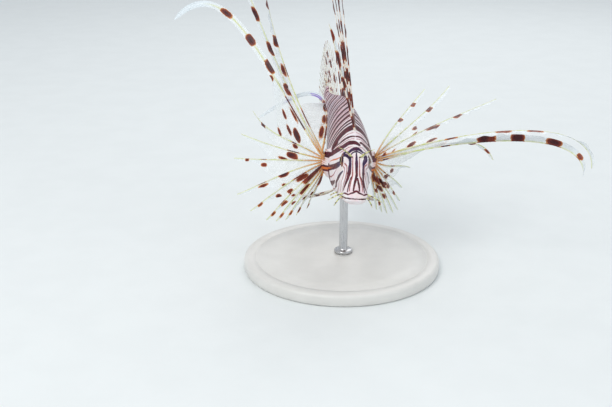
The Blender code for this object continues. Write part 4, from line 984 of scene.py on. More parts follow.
def ray_finish(name, ground_low, ground_high, gloss=0.15, rusty_for=0.0, edge=0.30):
    """Painted wire and bone; rusty_for is how many mm from the root the shafts are amber."""
    f = Finish(name, 0.4, Coat_Weight=gloss, Coat_Roughness=0.12, Specular_IOR_Level=0.3)
    ground = f.over(f.mark("icy"), f.coat(ground_low, ground_high, f.grain(260.0), 0.35, 0.65), ICE)
    if rusty_for:
        ground = f.coat(ground, AMBER, f.mark("along"), rusty_for, 2.0, 0.85)
    colour, _ = blot_paint(f, ground, edge)
    return f.done(colour, f.grain(3800.0), 0.00005, rough=(f.grain(4200.0), 0.30, 0.48))


def web_finish(name, clear, tint_low, tint_high, trailing=0.26, edge=0.45):
    """Thin fin skin: see-through between the rays and solid at its blots.

    clear is its least cover, and trailing what is added to that on the free ribbons.
    """
    f = Finish(name, 0.35, Coat_Weight=0.08, Coat_Roughness=0.2, Specular_IOR_Level=0.25)
    streaks = f.grain(300.0, 4.0, stretch=(1.0, 1.0, 0.25))
    ground = f.coat(tint_low, tint_high, streaks, 0.35, 0.68)
    ground = f.over(f.sums("MULTIPLY", f.mark("ribbon"), 0.5), ground, ICE)
    beside = f.ease(f.mark("off_ray"), 1.1, 0.1, 0.0, 0.55)
    beside = f.sums("MULTIPLY", beside, f.sums("SUBTRACT", 1.0, f.mark("icy")))
    ground = f.over(beside, ground, SHAFT_GREEN)
    colour, spot = blot_paint(f, f.over(f.mark("icy"), ground, ICE), edge)
    thick_at_ray = f.ease(f.mark("off_ray"), 1.1, 0.0, 0.0, 0.30)
    veins = f.ease(f.grain(1400.0, 4.0), 0.40, 0.70, 0.0, 0.16)
    cover = f.sums("ADD", f.sums("ADD", thick_at_ray, veins), clear)
    cover = f.sums("ADD", cover, f.sums("MULTIPLY", f.mark("ribbon"), trailing))
    cover = f.sums("MAXIMUM", cover, f.sums("MULTIPLY", f.ease(spot, 0.15, -0.30), 0.97))
    bumps = f.sums("ADD", streaks, f.grain(2200.0))
    return f.done(colour, bumps, 0.00010, rough=(f.grain(2400.0), 0.28, 0.48), Alpha=cover)


def ray_lines(roots, ways, lengths, rooted, rows, bend):
    """Centre lines of rays, from (a, l, h) roots, first and last ways (back, out, up) and lengths."""
    lines = []
    for root, both, length in zip(roots, ways, lengths):
        start, end = (fish_way(root[0], way) for way in both)
        lines.append(bent_path(on_fish(*root), start, end, length * BODY, rows, bend, rooted))
    return np.array(lines)


def midline_rays(stations, outline, rakes, asides, lengths, curve, *shape, up=1):
    """Rays that stand along the back, or the belly, raked towards the tail and curving on by curve."""
    roots = [(a, 0.0, float(smooth_curve(STATIONS, outline, a))) for a in stations]
    leans = zip(rakes, asides)
    ways = [[(math.sin(x), y, up * math.cos(x)) for x in (rake, rake + curve)] for rake, y in leans]
    return ray_lines(roots, ways, lengths, *shape)


stations = np.linspace(SPINE_START, SPINE_END, SPINES)
leans = np.tan(np.radians(SPINE_LEANS))
spine_shape = (SPINE_CURVE, SPINE_ROOTED, SPINE_ROWS, SPINE_BEND)
spines = midline_rays(stations, TOP, np.radians(SPINE_RAKES), leans, SPINE_LENGTHS, *spine_shape)
sail = SAIL_WIDTH * smooth_curve(*SAIL_SHAPE, np.linspace(0, 1, SPINE_ROWS))
sail = sail[None] * smooth_curve(*SAIL_SIZES, SPINE_LENGTHS)[:, None]
spine_blots, sail_blots = [], []
for k, length in enumerate(SPINE_LENGTHS):
    bands = [(b - BAND_FALL * k + band_draw.uniform(-0.4, 0.4), half) for b, half in SPINE_BANDS]
    bands = [(b, half) for b, half in bands if -half < b < length * BODY_MM - 2]
    spine_blots.append([(b, 0.0, half, 2.0) for b, half in bands])
    sail_blots.append([(b + 0.6, 0.25, half * 0.9, 1.5) for b, half in bands])
spiky = ray_finish("banded_spine", (0.84, 0.80, 0.74, 1), (0.76, 0.66, 0.56, 1), 0.2, edge=0.12)
sail_skin = web_finish("spine_sail", 0.36, (0.82, 0.80, 0.78, 1), (0.90, 0.91, 0.92, 1), edge=0.20)
shafts = fin_rays(spines, SPINE_ROOT, SPINE_POINT, spine_blots, SPINE_ROOTED, SPINE_SIDES)
fasten("dorsal_spines", "spine", shafts, spiky, "spiny_dorsal_fin")
sail_shape = (SPINE_ROOTED, SAIL_BILLOW, SAIL_THICK, SAIL_COLUMNS, SAIL_SPREAD)
sails = fin_skins(spines, [SAIL_REACH] * SPINES, sail, sail_blots, *sail_shape)
fasten("dorsal_sails", "fin", joined(sails), sail_skin)

# ============================================================ Soft dorsal, anal and tail fins
# Fans of jointed, branching rays with clear skin stretched between them, spotted in rows. They are moulded in
# clear vinyl over fine wire rays, whose roots run into the ridge of the back, the belly and the tail's end.
SOFT_ROWS, SOFT_COLUMNS, SOFT_BEND, SOFT_CURVE = 64, 7, 1.4, 0.2
SOFT_ROOT, SOFT_TIP, SOFT_THICK, SOFT_SIDES = 0.00034, 0.00009, 0.00022, 6
SOFT_RIBBON, SOFT_REACH, SOFT_ROOTED, TAIL_ROOTED = 0.00035, 0.93, 0.0010, 0.0020
SOFT_JOINT = 0.0016  # metres from joint to joint of a ray
SOFT_BILLOW, SOFT_SPREAD = 0.0001, 0.10
TAIL_SPREAD, TAIL_STATION, TAIL_HALF = math.radians(27), 1.004, 0.050  # TAIL_HALF is half the root's height
TAIL_LENGTH, TAIL_SHORTER = 0.335, 0.075  # of the middle rays, and by how much the outer rays are shorter
BRANCH_FROM, BRANCH_SPREAD = 0.55, 0.30  # where a ray forks, and the share of the gap that its halves part
TWIN_ROOT, TWIN_SIDES = SOFT_ROOT * 0.55, 5
DOT_ROW, DOT_SIZE = 7.5, 1.15  # mm between rows of spots, and half the size of a spot
# Rays of each fin, and their rake in degrees from the first to the last; the lean is to the fish's right
SOFT_DORSAL_RAYS, SOFT_DORSAL_RAKES, SOFT_DORSAL_LEAN = 9, (36, 62), -0.05
ANAL_RAYS, ANAL_RAKES = 8, (28, 62)
TAIL_RAYS, TAIL_STRAIGHTER, TAIL_LEAN = 12, 0.8, -0.03  # its rays end at this share of their first angle
SOFT_DORSAL, SOFT_DORSAL_LENGTHS = (0.750, 0.915), ((0, 0.3, 0.6, 1.0), (0.22, 0.29, 0.28, 0.17))
ANAL, ANAL_LENGTHS = (0.705, 0.885), ((0, 0.25, 0.6, 1.0), (0.12, 0.24, 0.28, 0.18))
# Dark smudges of the soft dorsal: ray, mm from the back, half size in mm
SMUDGES = ((1, 12, 2.2), (2, 24, 2.4), (4, 17, 2.2), (3, 33, 2.0), (5, 30, 2.2), (6, 14, 2.0))
dot_draw = np.random.default_rng(41)


def dotted(rays, first=4.0, size=DOT_SIZE):
    """Spots in rows across a fin's sheets, one on each ray and one now and then between two rays."""
    blots = []
    for length in ray_lengths(rays) * 1000:
        here = []
        for at in np.arange(first, length - 1.0, DOT_ROW):
            if dot_draw.random() < 0.66:
                half = size * dot_draw.uniform(0.7, 1.25)
                here.append((at + dot_draw.uniform(-0.8, 0.8), 0.0, half * 1.15, half))
            if dot_draw.random() < 0.10:
                here.append((at + DOT_ROW * 0.5, 0.6, size * 0.8, size * 0.6))
        blots.append(here)
    return blots


def forks(rays):
    """The second half of each ray, which parts from the first towards the next ray."""
    aside = eased(np.linspace(0, 1, SOFT_ROWS), BRANCH_FROM, 1.0) * BRANCH_SPREAD
    twins = rays[:-1] + (rays[1:] - rays[:-1]) * aside[None, :, None]
    return twins[:, int(BRANCH_FROM * SOFT_ROWS) - 1:]


def soft_fin(name, node, rays, blots):
    """The rays and the skin of one soft fin as two pieces."""
    twins = forks(rays)
    shafts = joined([
        fin_rays(rays, SOFT_ROOT, SOFT_TIP, blots, SOFT_ROOTED, SOFT_SIDES, SOFT_JOINT),
        fin_rays(twins, TWIN_ROOT, SOFT_TIP, [[]] * len(twins), 0.0, TWIN_SIDES, SOFT_JOINT),
    ])
    fasten(f"{name}_rays", "fin", shafts, soft_ray, node)
    reach, ribbon = [SOFT_REACH] * len(rays), np.full(rays.shape[:2], SOFT_RIBBON)
    sheets = fin_skins(rays, reach, ribbon, blots, *soft_sheet)
    fasten(f"{name}_web", "fin", joined(sheets), soft_web)


soft_ray = ray_finish("soft_ray", (0.80, 0.77, 0.71, 1), (0.72, 0.66, 0.52, 1), edge=0.2)
soft_web = web_finish("soft_web", 0.20, (0.84, 0.85, 0.86, 1), (0.90, 0.92, 0.93, 1), edge=0.3)
soft_shape = (SOFT_CURVE, SOFT_ROOTED, SOFT_ROWS, SOFT_BEND)
soft_sheet = (SOFT_ROOTED, SOFT_BILLOW, SOFT_THICK, SOFT_COLUMNS, SOFT_SPREAD)

t, leans = np.linspace(0, 1, SOFT_DORSAL_RAYS), [SOFT_DORSAL_LEAN] * SOFT_DORSAL_RAYS
rakes, lengths = np.radians(smooth_curve((0, 1), SOFT_DORSAL_RAKES, t)), smooth_curve(*SOFT_DORSAL_LENGTHS, t)
rays = midline_rays(np.interp(t, (0, 1), SOFT_DORSAL), TOP, rakes, leans, lengths, *soft_shape)
blots = dotted(rays)
for ray, at, half in SMUDGES:
    blots[ray].append((at, 0.5, half * 1.3, half))
soft_fin("soft_dorsal", "soft_dorsal_fin", rays, blots)

t, leans = np.linspace(0, 1, ANAL_RAYS), [0.0] * ANAL_RAYS
rakes, lengths = np.radians(smooth_curve((0, 1), ANAL_RAKES, t)), smooth_curve(*ANAL_LENGTHS, t)
rays = midline_rays(np.interp(t, (0, 1), ANAL), BOTTOM, rakes, leans, lengths, *soft_shape, up=-1)
soft_fin("anal", "anal_fin", rays, dotted(rays))

t = np.linspace(-1, 1, TAIL_RAYS)
roots = [(TAIL_STATION, 0.0, TAIL_HALF * x) for x in t]
angles = zip(TAIL_SPREAD * t, TAIL_STRAIGHTER * (TAIL_SPREAD * t))
ways = [((math.cos(x), 0.0, math.sin(x)), (math.cos(y), TAIL_LEAN, math.sin(y))) for x, y in angles]
rays = ray_lines(roots, ways, TAIL_LENGTH - TAIL_SHORTER * t ** 2, TAIL_ROOTED, SOFT_ROWS, SOFT_BEND)
soft_fin("caudal", "caudal_fin", rays, dotted(rays, 6.0))

# ============================================================ Pelvic fins
# A pair of broad fins under the chest, each a spine and five soft rays with darker, blotched skin between
# them. They are made as the other fins are and set into the belly.
PELVIC_LENGTHS = (0.24, 0.36, 0.39, 0.38, 0.34, 0.27)
PELVIC_STATIONS, PELVIC_ASIDE = (0.330, 0.365), (0.050, 0.036)  # of the first and the last ray
PELVIC_ROOT, PELVIC_SIDES, PELVIC_JOINT, PELVIC_BEND, PELVIC_ROOTED = 0.00045, 7, 0.0018, 1.2, 0.0010
PELVIC_REACH, PELVIC_RIBBON, PELVIC_THICK, PELVIC_DOT = 0.74, 0.0011, 0.00028, 1.7
PELVIC_BILLOW, PELVIC_COLUMNS, PELVIC_SPREAD = 0.0004, 9, 0.22


def pelvic_rays(side):
    roots, ways = [], []
    for t in np.linspace(0, 1, len(PELVIC_LENGTHS)):
        a, l = (np.interp(t, (0, 1), ends) for ends in (PELVIC_STATIONS, PELVIC_ASIDE))
        roots.append((a, side * l, np.interp(l, *section(a, np.linspace(math.pi, math.pi / 2, 91)))))
        start = (0.50 + 0.20 * t, side * (0.62 - 0.42 * t), -0.62)
        ways.append((start, (0.85, side * (0.46 - 0.26 * t), -0.42)))
    return ray_lines(roots, ways, PELVIC_LENGTHS, PELVIC_ROOTED, SOFT_ROWS, PELVIC_BEND)


pelvic_web = web_finish("pelvic_web", 0.45, (0.72, 0.60, 0.54, 1), (0.86, 0.82, 0.78, 1))
for side, side_name in SIDES:
    rays = pelvic_rays(side)
    blots = dotted(rays, 5.0, PELVIC_DOT)
    shafts = fin_rays(rays, PELVIC_ROOT, SOFT_TIP, blots, PELVIC_ROOTED, PELVIC_SIDES, PELVIC_JOINT)
    fasten(f"pelvic_rays_{side_name}", "fin", shafts, soft_ray, f"pelvic_fin_{side_name}")
    taper = smooth_curve((0, 0.8, 1.0), (1.0, 0.8, 0.2), np.linspace(0, 1, SOFT_ROWS))
    ribbon, reach = np.tile(PELVIC_RIBBON * taper, (len(rays), 1)), [PELVIC_REACH] * len(rays)
    sheet = (PELVIC_ROOTED, PELVIC_BILLOW, PELVIC_THICK, PELVIC_COLUMNS, PELVIC_SPREAD)
    sheets = fin_skins(rays, reach, ribbon, blots, *sheet)
    fasten(f"pelvic_web_{side_name}", "fin", joined(sheets), pelvic_web)

# ============================================================ Pectoral fans
# The two great fans: fourteen long rays each, with skin that joins them near the body and trails from each as
# a free ribbon, crossed by dark blots. Wire rays are laid in clear, tinted vinyl and set in the fleshy root.
FAN_RAYS, FAN_ROWS, FAN_SIDES, FAN_JOINT = 14, 170, 8, 0.0024
FAN_OUT, FAN_ROOTED = 0.00528, 0.0036  # metres that rays start out of the body, and run on inside the root
# ray, first way (back, out, up), tip from root, last way, strength of each way, joined share of BODY
RIGHT_FAN = (
    (0, (0.94, -0.19, 0.31), (0.38, 0.27, -0.05), (-0.09, 0.64, -0.50), (3.77, 0.96), 0.24),
    (1, (0.77, 0.43, 0.47), (0.80, 0.28, 0.52), (0.66, 0.20, 0.71), (1.0, 1.0), 0.29),
    (2, (0.72, 0.47, 0.51), (0.73, 0.37, 0.53), (0.58, 0.38, 0.71), (1.0, 1.0), 0.32),
    (3, (0.66, 0.55, 0.51), (0.44, 0.66, 0.41), (-0.60, 0.58, -0.55), (1.35, 1.3), 0.33),
    (4, (0.66, 0.72, 0.14), (0.39, 0.29, 0.02), (0.80, 0.45, 0.40), (1.0, 1.0), 0.31),
    (5, (0.53, 0.84, -0.08), (0.31, 0.34, -0.05), (0.56, 0.82, 0.06), (1.0, 1.0), 0.29),
    (6, (0.38, 0.90, -0.22), (0.22, 0.37, -0.12), (0.33, 0.93, -0.15), (1.0, 1.0), 0.27),
    (7, (0.20, 0.91, -0.38), (0.08, 0.35, -0.22), (0.04, 0.87, -0.49), (1.0, 1.0), 0.25),
    (9, (-0.08, 0.71, -0.69), (-0.02, 0.22, -0.27), (-0.24, 0.61, -0.75), (1.0, 1.0), 0.21),
    (11, (-0.15, 0.49, -0.85), (-0.03, 0.14, -0.24), (-0.28, 0.44, -0.84), (1.0, 1.0), 0.17),
    (13, (-0.10, 0.24, -0.96), (0.04, 0.05, -0.20), (-0.15, 0.20, -0.97), (1.0, 1.0), 0.13),
)
LEFT_FAN = (
    (0, (0.94, 0.34, 0.05), (0.64, 0.30, 0.03), (0.86, 0.49, 0.15), (1.0, 1.0), 0.25),
    (1, (0.85, 0.52, 0.04), (0.65, 0.42, 0.06), (0.86, 0.49, 0.15), (1.0, 1.0), 0.28),
    (2, (0.73, 0.67, 0.08), (0.54, 0.63, 0.06), (0.59, 0.80, 0.10), (1.0, 1.0), 0.31),
    (3, (0.34, 0.92, 0.22), (-0.17, 0.88, 0.08), (-0.65, -0.10, -0.74), (1.0, 0.95), 0.31),
    (4, (0.32, 0.94, 0.15), (-0.13, 0.87, 0.03), (-0.65, -0.12, -0.75), (1.0, 0.85), 0.29),
    (5, (0.60, 0.79, -0.10), (0.30, 0.60, -0.12), (-0.25, 0.40, -0.88), (1.2, 0.80), 0.27),
    (6, (0.52, 0.70, -0.48), (0.28, 0.21, -0.16), (0.62, 0.55, -0.50), (1.0, 1.0), 0.25),
    (7, (0.36, 0.60, -0.70), (0.21, 0.17, -0.22), (0.42, 0.52, -0.72), (1.0, 1.0), 0.23),
    (9, (0.16, 0.48, -0.86), (0.12, 0.15, -0.27), (0.20, 0.46, -0.85), (1.0, 1.0), 0.20),
    (11, (0.04, 0.36, -0.93), (0.08, 0.10, -0.25), (0.04, 0.33, -0.93), (1.0, 1.0), 0.16),
    (13, (-0.05, 0.28, -0.96), (0.04, 0.05, -0.19), (-0.05, 0.20, -0.97), (1.0, 1.0), 0.12),
)
RIBBON_LENGTHS, RIBBON_WIDTHS = (0.03, 0.09, 0.16), (0.0016, 0.0026, 0.0048)  # wider on a longer ray
RIBBON_SHAPE = ((0, 0.28, 0.55, 0.88, 0.97, 1.0), (0.25, 0.8, 1.0, 0.85, 0.55, 0.10))
FAN_ROOT, FAN_TIP, FAN_THICK, FAN_COLUMNS = 0.00062, 0.00014, 0.00030, 13
FAN_BILLOW, FAN_SPREAD = 0.0007, 0.42
# The share of a ribbon that lies ahead of its ray, the way a ribbon faces where it turns from its neighbours,
# and from where to where, in mm from its root, a ray and its ribbon turn to pale icy blue with violet blots
RIGHT_AHEAD, LEFT_AHEAD = {0: 0.5, 2: 0.35, 3: 0.5}, {}
RIGHT_FACING, LEFT_FACING = {0: (0.25, 0.34, 0.90)}, {4: (0.0, 0.34, 0.94)}
RIGHT_ICY, LEFT_ICY = {0: (46, 56), 3: (122, 140)}, {4: (136, 150)}
# Blots of each ray's sheet: mm from its root, share of the way across, half length and half width in mm
RIGHT_BLOTS = {
    0: ((15, 0.2, 6.3, 1.2), (28, 0.1, 4.7, 1.3), (43, 0.25, 6.5, 1.7), (57, 0.1, 9.0, 0.9),
        (81, 0.35, 4.9, 0.7)),
    1: ((27, 0.15, 7.4, 1.0), (68, 0.5, 5.5, 1.5), (93, 0.4, 5.0, 2.4), (124, 0.6, 4.5, 2.4)),
    2: ((52, 0.45, 5.2, 2.6), (87, 0.4, 6.0, 2.4), (116, 0.7, 6.0, 2.6)),
    3: ((25, 0.6, 5.0, 3.1), (34, 0.1, 6.3, 1.2), (34, 0.65, 4.2, 1.7), (43, 0.4, 4.0, 1.7),
        (43, 0.95, 3.4, 1.9), (63, 1.0, 2.0, 1.6), (70, 0.15, 5.4, 2.8), (93, 0.5, 4.5, 2.6),
        (118, 0.5, 4.8, 1.9)),
    4: ((24, 0.4, 2.6, 1.5), (59, 0.4, 2.6, 2.0)),
    5: ((22, 0.5, 5.1, 2.3), (30, 0.9, 4.5, 1.1)),
    6: ((44, 0.55, 2.3, 1.5), (57, 0.5, 1.5, 1.1)),
    7: ((27, 0.05, 4.1, 2.1), (31, 0.95, 1.8, 1.1), (44, 0.6, 3.4, 1.1)),
    8: ((16, 0.45, 5.1, 1.6), (29, 0.8, 2.3, 1.6), (37, 0.8, 1.8, 1.7), (50, 0.5, 2.0, 0.8)),
    9: ((7, 0.65, 9.4, 2.8), (28, 0.6, 1.2, 1.1), (36, 0.7, 2.5, 1.3), (46, 0.5, 2.0, 0.8)),
    10: ((19, 0.75, 5.2, 1.7), (31, 0.85, 1.5, 1.3), (42, 0.5, 2.0, 0.7)),
    11: ((24, 0.95, 1.8, 1.6), (36, 0.5, 1.8, 0.7)),
    12: ((20, 0.95, 1.6, 1.6), (32, 0.3, 2.1, 1.1)),
    13: ((5, 0.65, 4.7, 1.6), (30, 0.8, 1.9, 1.0)),
}
LEFT_BLOTS = {
    0: ((52, 0.4, 3.2, 1.5), (80, 0.5, 3.2, 1.5)),
    1: ((36, 0.95, 6.0, 0.9), (47, 0.9, 5.0, 1.6), (77, 0.4, 3.9, 1.6)),
    2: ((5, 0.7, 1.6, 0.7), (11, 0.9, 2.8, 0.5), (25, 0.8, 5.0, 1.7), (39, 0.85, 6.0, 1.8),
        (56, 0.45, 6.0, 2.0), (83, 0.4, 4.3, 1.8)),
    3: ((4, 0.1, 2.0, 0.6), (50, 0.1, 3.8, 0.6), (84, 0.3, 5.1, 1.2), (104, 0.3, 5.0, 1.3)),
    4: ((46, 0.5, 3.0, 2.6), (73, 0.5, 6.1, 3.0), (93, 0.5, 4.5, 3.0), (116, 0.5, 5.1, 2.4),
        (134, 0.5, 2.3, 1.5)),
    5: ((7, 0.25, 2.9, 1.0), (60, 0.4, 3.9, 2.4), (83, 0.5, 5.0, 2.4), (100, 0.4, 2.4, 1.2)),
    6: ((22, 0.4, 3.2, 1.5),),
    7: ((12, 0.7, 2.6, 0.9), (20, 0.4, 3.2, 1.6)),
    8: ((18, 0.92, 3.0, 1.3), (24, 0.5, 3.2, 1.5), (38, 0.4, 2.2, 1.1)),
    9: ((14, 0.5, 4.6, 1.9), (19, 0.15, 3.0, 1.2)),
    10: ((8, 0.7, 4.6, 1.4), (17, 0.85, 4.2, 1.9), (27, 0.65, 3.2, 1.3)),
    11: ((4, 0.65, 5.2, 1.8), (14, 0.15, 3.0, 1.1)),
    12: ((2, 0.4, 3.0, 1.2), (14, 0.5, 2.6, 1.1), (28, 0.5, 2.0, 0.9)),
}


def fan_lines(side, fan):
    """Centre lines of a fan's rays, and the joined share of each."""
    known, *columns = zip(*fan)
    t = np.linspace(0, 1, 400)[:, None]
    lines, reach = [], []
    for ray in range(FAN_RAYS):
        a, h = (np.interp(ray, (0, FAN_RAYS - 1), ends) for ends in zip(PECTORAL_TOP, PECTORAL_BOTTOM))
        widths, heights = section(a, np.linspace(0, math.pi, 361))
        root = on_fish(a, side * np.interp(-h, -heights, widths), h) + fish_way(a, LOBE_WAY, side) * FAN_OUT
        leave, offset, arrive, strengths = (
            [float(smooth_curve(known, v, ray)) for v in zip(*column)] for column in columns[:4]
        )
        back, left, up = body_axes(a)
        tip = root + (back * offset[0] + left * side * offset[1] + up * offset[2]) * BODY
        pulls = np.linalg.norm(tip - root) * np.array(strengths)
        leave, arrive = fish_way(a, leave, side), fish_way(a, arrive, side)
        curve = cubic(t, root, tip, leave * pulls[0], arrive * pulls[1])
        curve = np.concatenate([[root - leave * FAN_ROOTED], curve])
        run = np.concatenate([[0], np.linalg.norm(np.diff(curve, axis=0), axis=1).cumsum()])
        lines.append(read_line(np.linspace(0, run[-1], FAN_ROWS), run, curve))
        reach.append((float(smooth_curve(known, columns[4], ray)) * BODY + FAN_ROOTED) / run[-1])
    return np.array(lines), reach


def iced(along, ray, icy):
    """How icy a ray or its ribbon is at those millimetres from its root."""
    return eased(along, *icy[ray]) if ray in icy else 0 * along


fan_ray = ray_finish("fan_ray", SHAFT_CREAM, SHAFT_GREEN, 0.3, 22.0)
fan_web = web_finish("fan_web", 0.26, (0.84, 0.86, 0.85, 1), (0.92, 0.94, 0.95, 1), 0.42)
FANS = (
    (1, "left", LEFT_FAN, LEFT_BLOTS, LEFT_AHEAD, LEFT_FACING, LEFT_ICY),
    (-1, "right", RIGHT_FAN, RIGHT_BLOTS, RIGHT_AHEAD, RIGHT_FACING, RIGHT_ICY),
)
for side, side_name, fan, table, ahead, facing, icy in FANS:
    rays, reach = fan_lines(side, fan)
    blots = [table.get(ray, ()) for ray in range(FAN_RAYS)]
    shafts = fin_rays(rays, FAN_ROOT, FAN_TIP, blots, FAN_ROOTED, FAN_SIDES, FAN_JOINT)
    by_ray = shafts[2]["along"].reshape(FAN_RAYS, -1)
    shafts[2]["icy"] = np.array([iced(along, ray, icy) for ray, along in enumerate(by_ray)])
    fasten(f"pectoral_rays_{side_name}", "fin", shafts, fan_ray, f"pectoral_fin_{side_name}")
    shape = smooth_curve(*RIBBON_SHAPE, np.linspace(0, 1, FAN_ROWS))
    ribbon = smooth_curve(RIBBON_LENGTHS, RIBBON_WIDTHS, ray_lengths(rays))[:, None] * shape[None]
    sheet = (FAN_ROOTED, FAN_BILLOW, FAN_THICK, FAN_COLUMNS, FAN_SPREAD)
    sheets = fin_skins(rays, reach, ribbon, blots, *sheet, ahead, facing)
    for ray, (_, _, marks) in enumerate(sheets):
        marks["icy"] = iced(marks["along"], ray, icy)
    fasten(f"pectoral_web_{side_name}", "fin", joined(sheets), fan_web, crisp=60)

# ============================================================ Display stand
# A turned disc of painted board, slightly hollow underneath, and a slim rod of brushed steel with a collar
# below and a small dished head above, which carries the fish under its belly.
STAND_RADIUS, STAND_THICK, ROD_RADIUS, ROD_AT = 0.066, 0.008, 0.0028, 0.42
DISC_PROFILE = (  # radius from the rim inwards and height, mm
    (-66.0, 0.6), (-1.6, 0.0), (-0.5, 0.5), (0.0, 1.6), (0.0, 5.8), (-0.35, 6.9), (-1.1, 7.6), (-2.2, 7.95),
    (-4.0, 8.0), (-7.4, 8.0), (-7.7, 7.7), (-8.3, 7.7), (-8.6, 8.0), (-20.0, 8.0), (-40.0, 8.0), (-66.0, 8.0),
)
DISC_MIDDLE = 0.0002  # radius of the smallest ring
DISC_SIDES, ROD_SIDES = 180, 48
ROD_GAP, HEAD_GAP = 0.0004, 0.0002  # metres from the disc to the collar, and from the head to the belly
# The collar from the foot up, and the head up to its dish: share of the rod's radius, then metres up or down
COLLAR = (
    (2.00, 0.0), (2.20, 0.0003), (2.20, 0.0017), (2.05, 0.0020), (1.30, 0.0021), (1.12, 0.0024),
    (1.0, 0.0031),
)
ROD_HEAD = (
    (1.0, 0.0075), (1.05, 0.0062), (1.35, 0.0045), (1.80, 0.0025), (2.05, 0.0012), (2.1, 0.0004),
    (1.9, 0.00002), (1.2, 0.00016), (0.1, 0.00038),
)


def stand_finish(name, roughness, grain, scale, colours, rough, depth, **constants):
    """Paint or steel: grain is its fine relief, and scale is the grain of its shades, if they differ."""
    f = Finish(name, roughness, **constants)
    fine = f.grain(*grain)
    shades = f.grain(*scale) if scale else fine
    return f.done(f.coat(*colours, shades, 0.3, 0.7), fine, depth, 0.4, rough=(fine, *rough))


def circle(sides):
    turn = 2 * math.pi * np.arange(sides) / sides
    return np.stack([np.cos(turn), np.sin(turn)], -1)


def under_belly(a):
    return on_fish(a, 0.0, float(smooth_curve(STATIONS, BOTTOM, a)))


def level_ring(middle, across, height):
    """Points of a ring; height is one number or one for each point."""
    return np.column_stack([middle + across, np.broadcast_to(height, len(across))])


greys, steels = ((0.70, 0.69, 0.66, 1), (0.76, 0.75, 0.72, 1)), ((0.50, 0.50, 0.51, 1), (0.68, 0.68, 0.69, 1))
satin_paint = stand_finish("satin_paint", 0.4, (1900.0,), (45.0, 5.0), greys, (0.36, 0.50), 0.00006,
                           Coat_Weight=0.15, Coat_Roughness=0.25)
brushed_rod = stand_finish("brushed_rod", 0.3, (900.0, 4.0, (6.0, 6.0, 0.15)), None, steels, (0.22, 0.38),
                           0.00004, Metallic=1.0)
radii = [max(STAND_RADIUS + inward / 1000, DISC_MIDDLE) for inward, _ in DISC_PROFILE]
rings = [level_ring(0, circle(DISC_SIDES) * r, rise / 1000) for r, (_, rise) in zip(radii, DISC_PROFILE)]
disc = (rings, tube_faces(1, len(rings), DISC_SIDES), {})
fasten("stand_disc", "stand_paint", disc, satin_paint, "stand_base")

belly, ahead, behind = (under_belly(ROD_AT + x) for x in (0, -0.01, 0.01))
slope = np.cross(behind - ahead, body_axes(ROD_AT)[1])
around_rod = circle(ROD_SIDES) * ROD_RADIUS
tilt = around_rod @ slope[:2] / slope[2]
foot, top = STAND_THICK + ROD_GAP, belly[2] - HEAD_GAP
rings = [level_ring(belly[:2], around_rod * flare, foot + rise) for flare, rise in COLLAR]
rings += [level_ring(belly[:2], around_rod * flare, top - drop - tilt * flare) for flare, drop in ROD_HEAD]
rod = (rings, tube_faces(1, len(rings), ROD_SIDES), {})
fasten("stand_rod_turned", "stand_steel", rod, brushed_rod, "stand_rod")

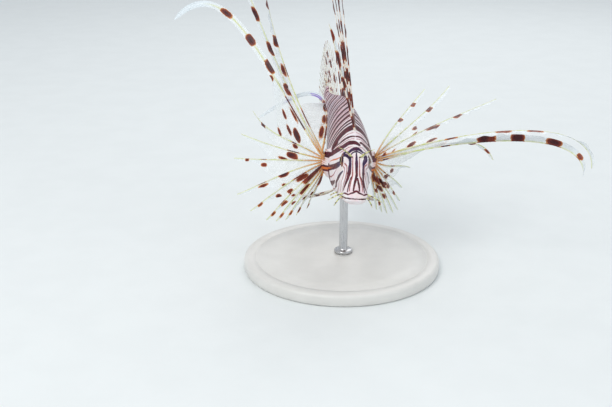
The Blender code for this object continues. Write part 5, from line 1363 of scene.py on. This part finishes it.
# ============================================================ Floor, lights and camera
# A plain pale floor that runs out into a pale surround, and three soft studio lights: a key, a fill and one
# from the rear. None of it belongs to the model.
FLOOR_HALF = 12.0
FLOOR_FADE = (0.9, 3.0)  # metres from the stand over which the floor runs out into the surround
LIGHTS = (  # name, place, aim, size across, watts, colour
    ("key", (-0.55, -0.75, 1.15), (0.0, 0.0, 0.08), 0.9, 9.0, (1.0, 0.98, 0.95)),
    ("fill", (0.95, -0.70, 0.75), (0.0, 0.0, 0.08), 1.0, 1.6, (0.95, 0.98, 1.0)),
    ("rear", (0.25, 0.95, 0.95), (0.0, 0.0, 0.10), 0.8, 3.5, (1.0, 1.0, 1.0)),
)
SURROUND, SURROUND_STRENGTH = (0.90, 0.95, 1.0, 1), 0.66
CAMERA_PLACE, CAMERA_TILT = (-0.0241, -0.6270, 0.2731), math.radians(70)
CAMERA_LENS, CAMERA_SENSOR = 58.82, 36.0  # millimetres


def floor_finish():
    f = Finish("pale_floor", 0.75)
    shade = f.coat((0.785, 0.815, 0.815, 1), (0.80, 0.83, 0.83, 1), f.grain(30.0, 5.0), 0.35, 0.65)
    painted = f.done(shade, f.grain(900.0), 0.0002, 0.2)
    away = f.node("VectorMath", {0: f.node("TexCoord", {}, "Object")}, "Value", operation="LENGTH")
    far = f.node("Emission", {"Color": SURROUND, "Strength": SURROUND_STRENGTH})
    mixed = f.node("MixShader", {0: f.ease(away, *FLOOR_FADE), 1: f.shader.outputs["BSDF"], 2: far})
    f.tree.links.new(mixed, f.tree.nodes["Material Output"].inputs["Surface"])
    return painted


corners = [(x * FLOOR_HALF, y * FLOOR_HALF, 0) for x, y in ((-1, -1), (1, -1), (1, 1), (-1, 1))]
new_piece("floor", corners, [(0, 1, 2, 3)], {}, floor_finish())

for name, place, aim, across, watts, colour in LIGHTS:
    lamp = bpy.data.lights.new(name, "AREA")
    lamp.shape, lamp.size, lamp.energy, lamp.color = "DISK", across, watts, colour
    light = bpy.data.objects.new(name, lamp)
    bpy.context.scene.collection.objects.link(light)
    light.location = place
    way = np.array(aim) - place
    light.rotation_euler = (math.atan2(math.hypot(way[0], way[1]), -way[2]), 0, math.atan2(-way[0], way[1]))

surround = bpy.data.worlds.new("surround")
surround.use_nodes = True
backdrop = surround.node_tree.nodes["Background"]
backdrop.inputs["Color"].default_value = SURROUND
backdrop.inputs["Strength"].default_value = SURROUND_STRENGTH
bpy.context.scene.world = surround
bpy.context.scene.view_settings.view_transform = "Standard"

lens = bpy.data.cameras.new("camera")
lens.lens, lens.sensor_width, lens.clip_start = CAMERA_LENS, CAMERA_SENSOR, 0.01
camera = bpy.data.objects.new("camera", lens)
camera.location, camera.rotation_euler = CAMERA_PLACE, (CAMERA_TILT, 0, 0)
bpy.context.scene.collection.objects.link(camera)
bpy.context.scene.camera = camera
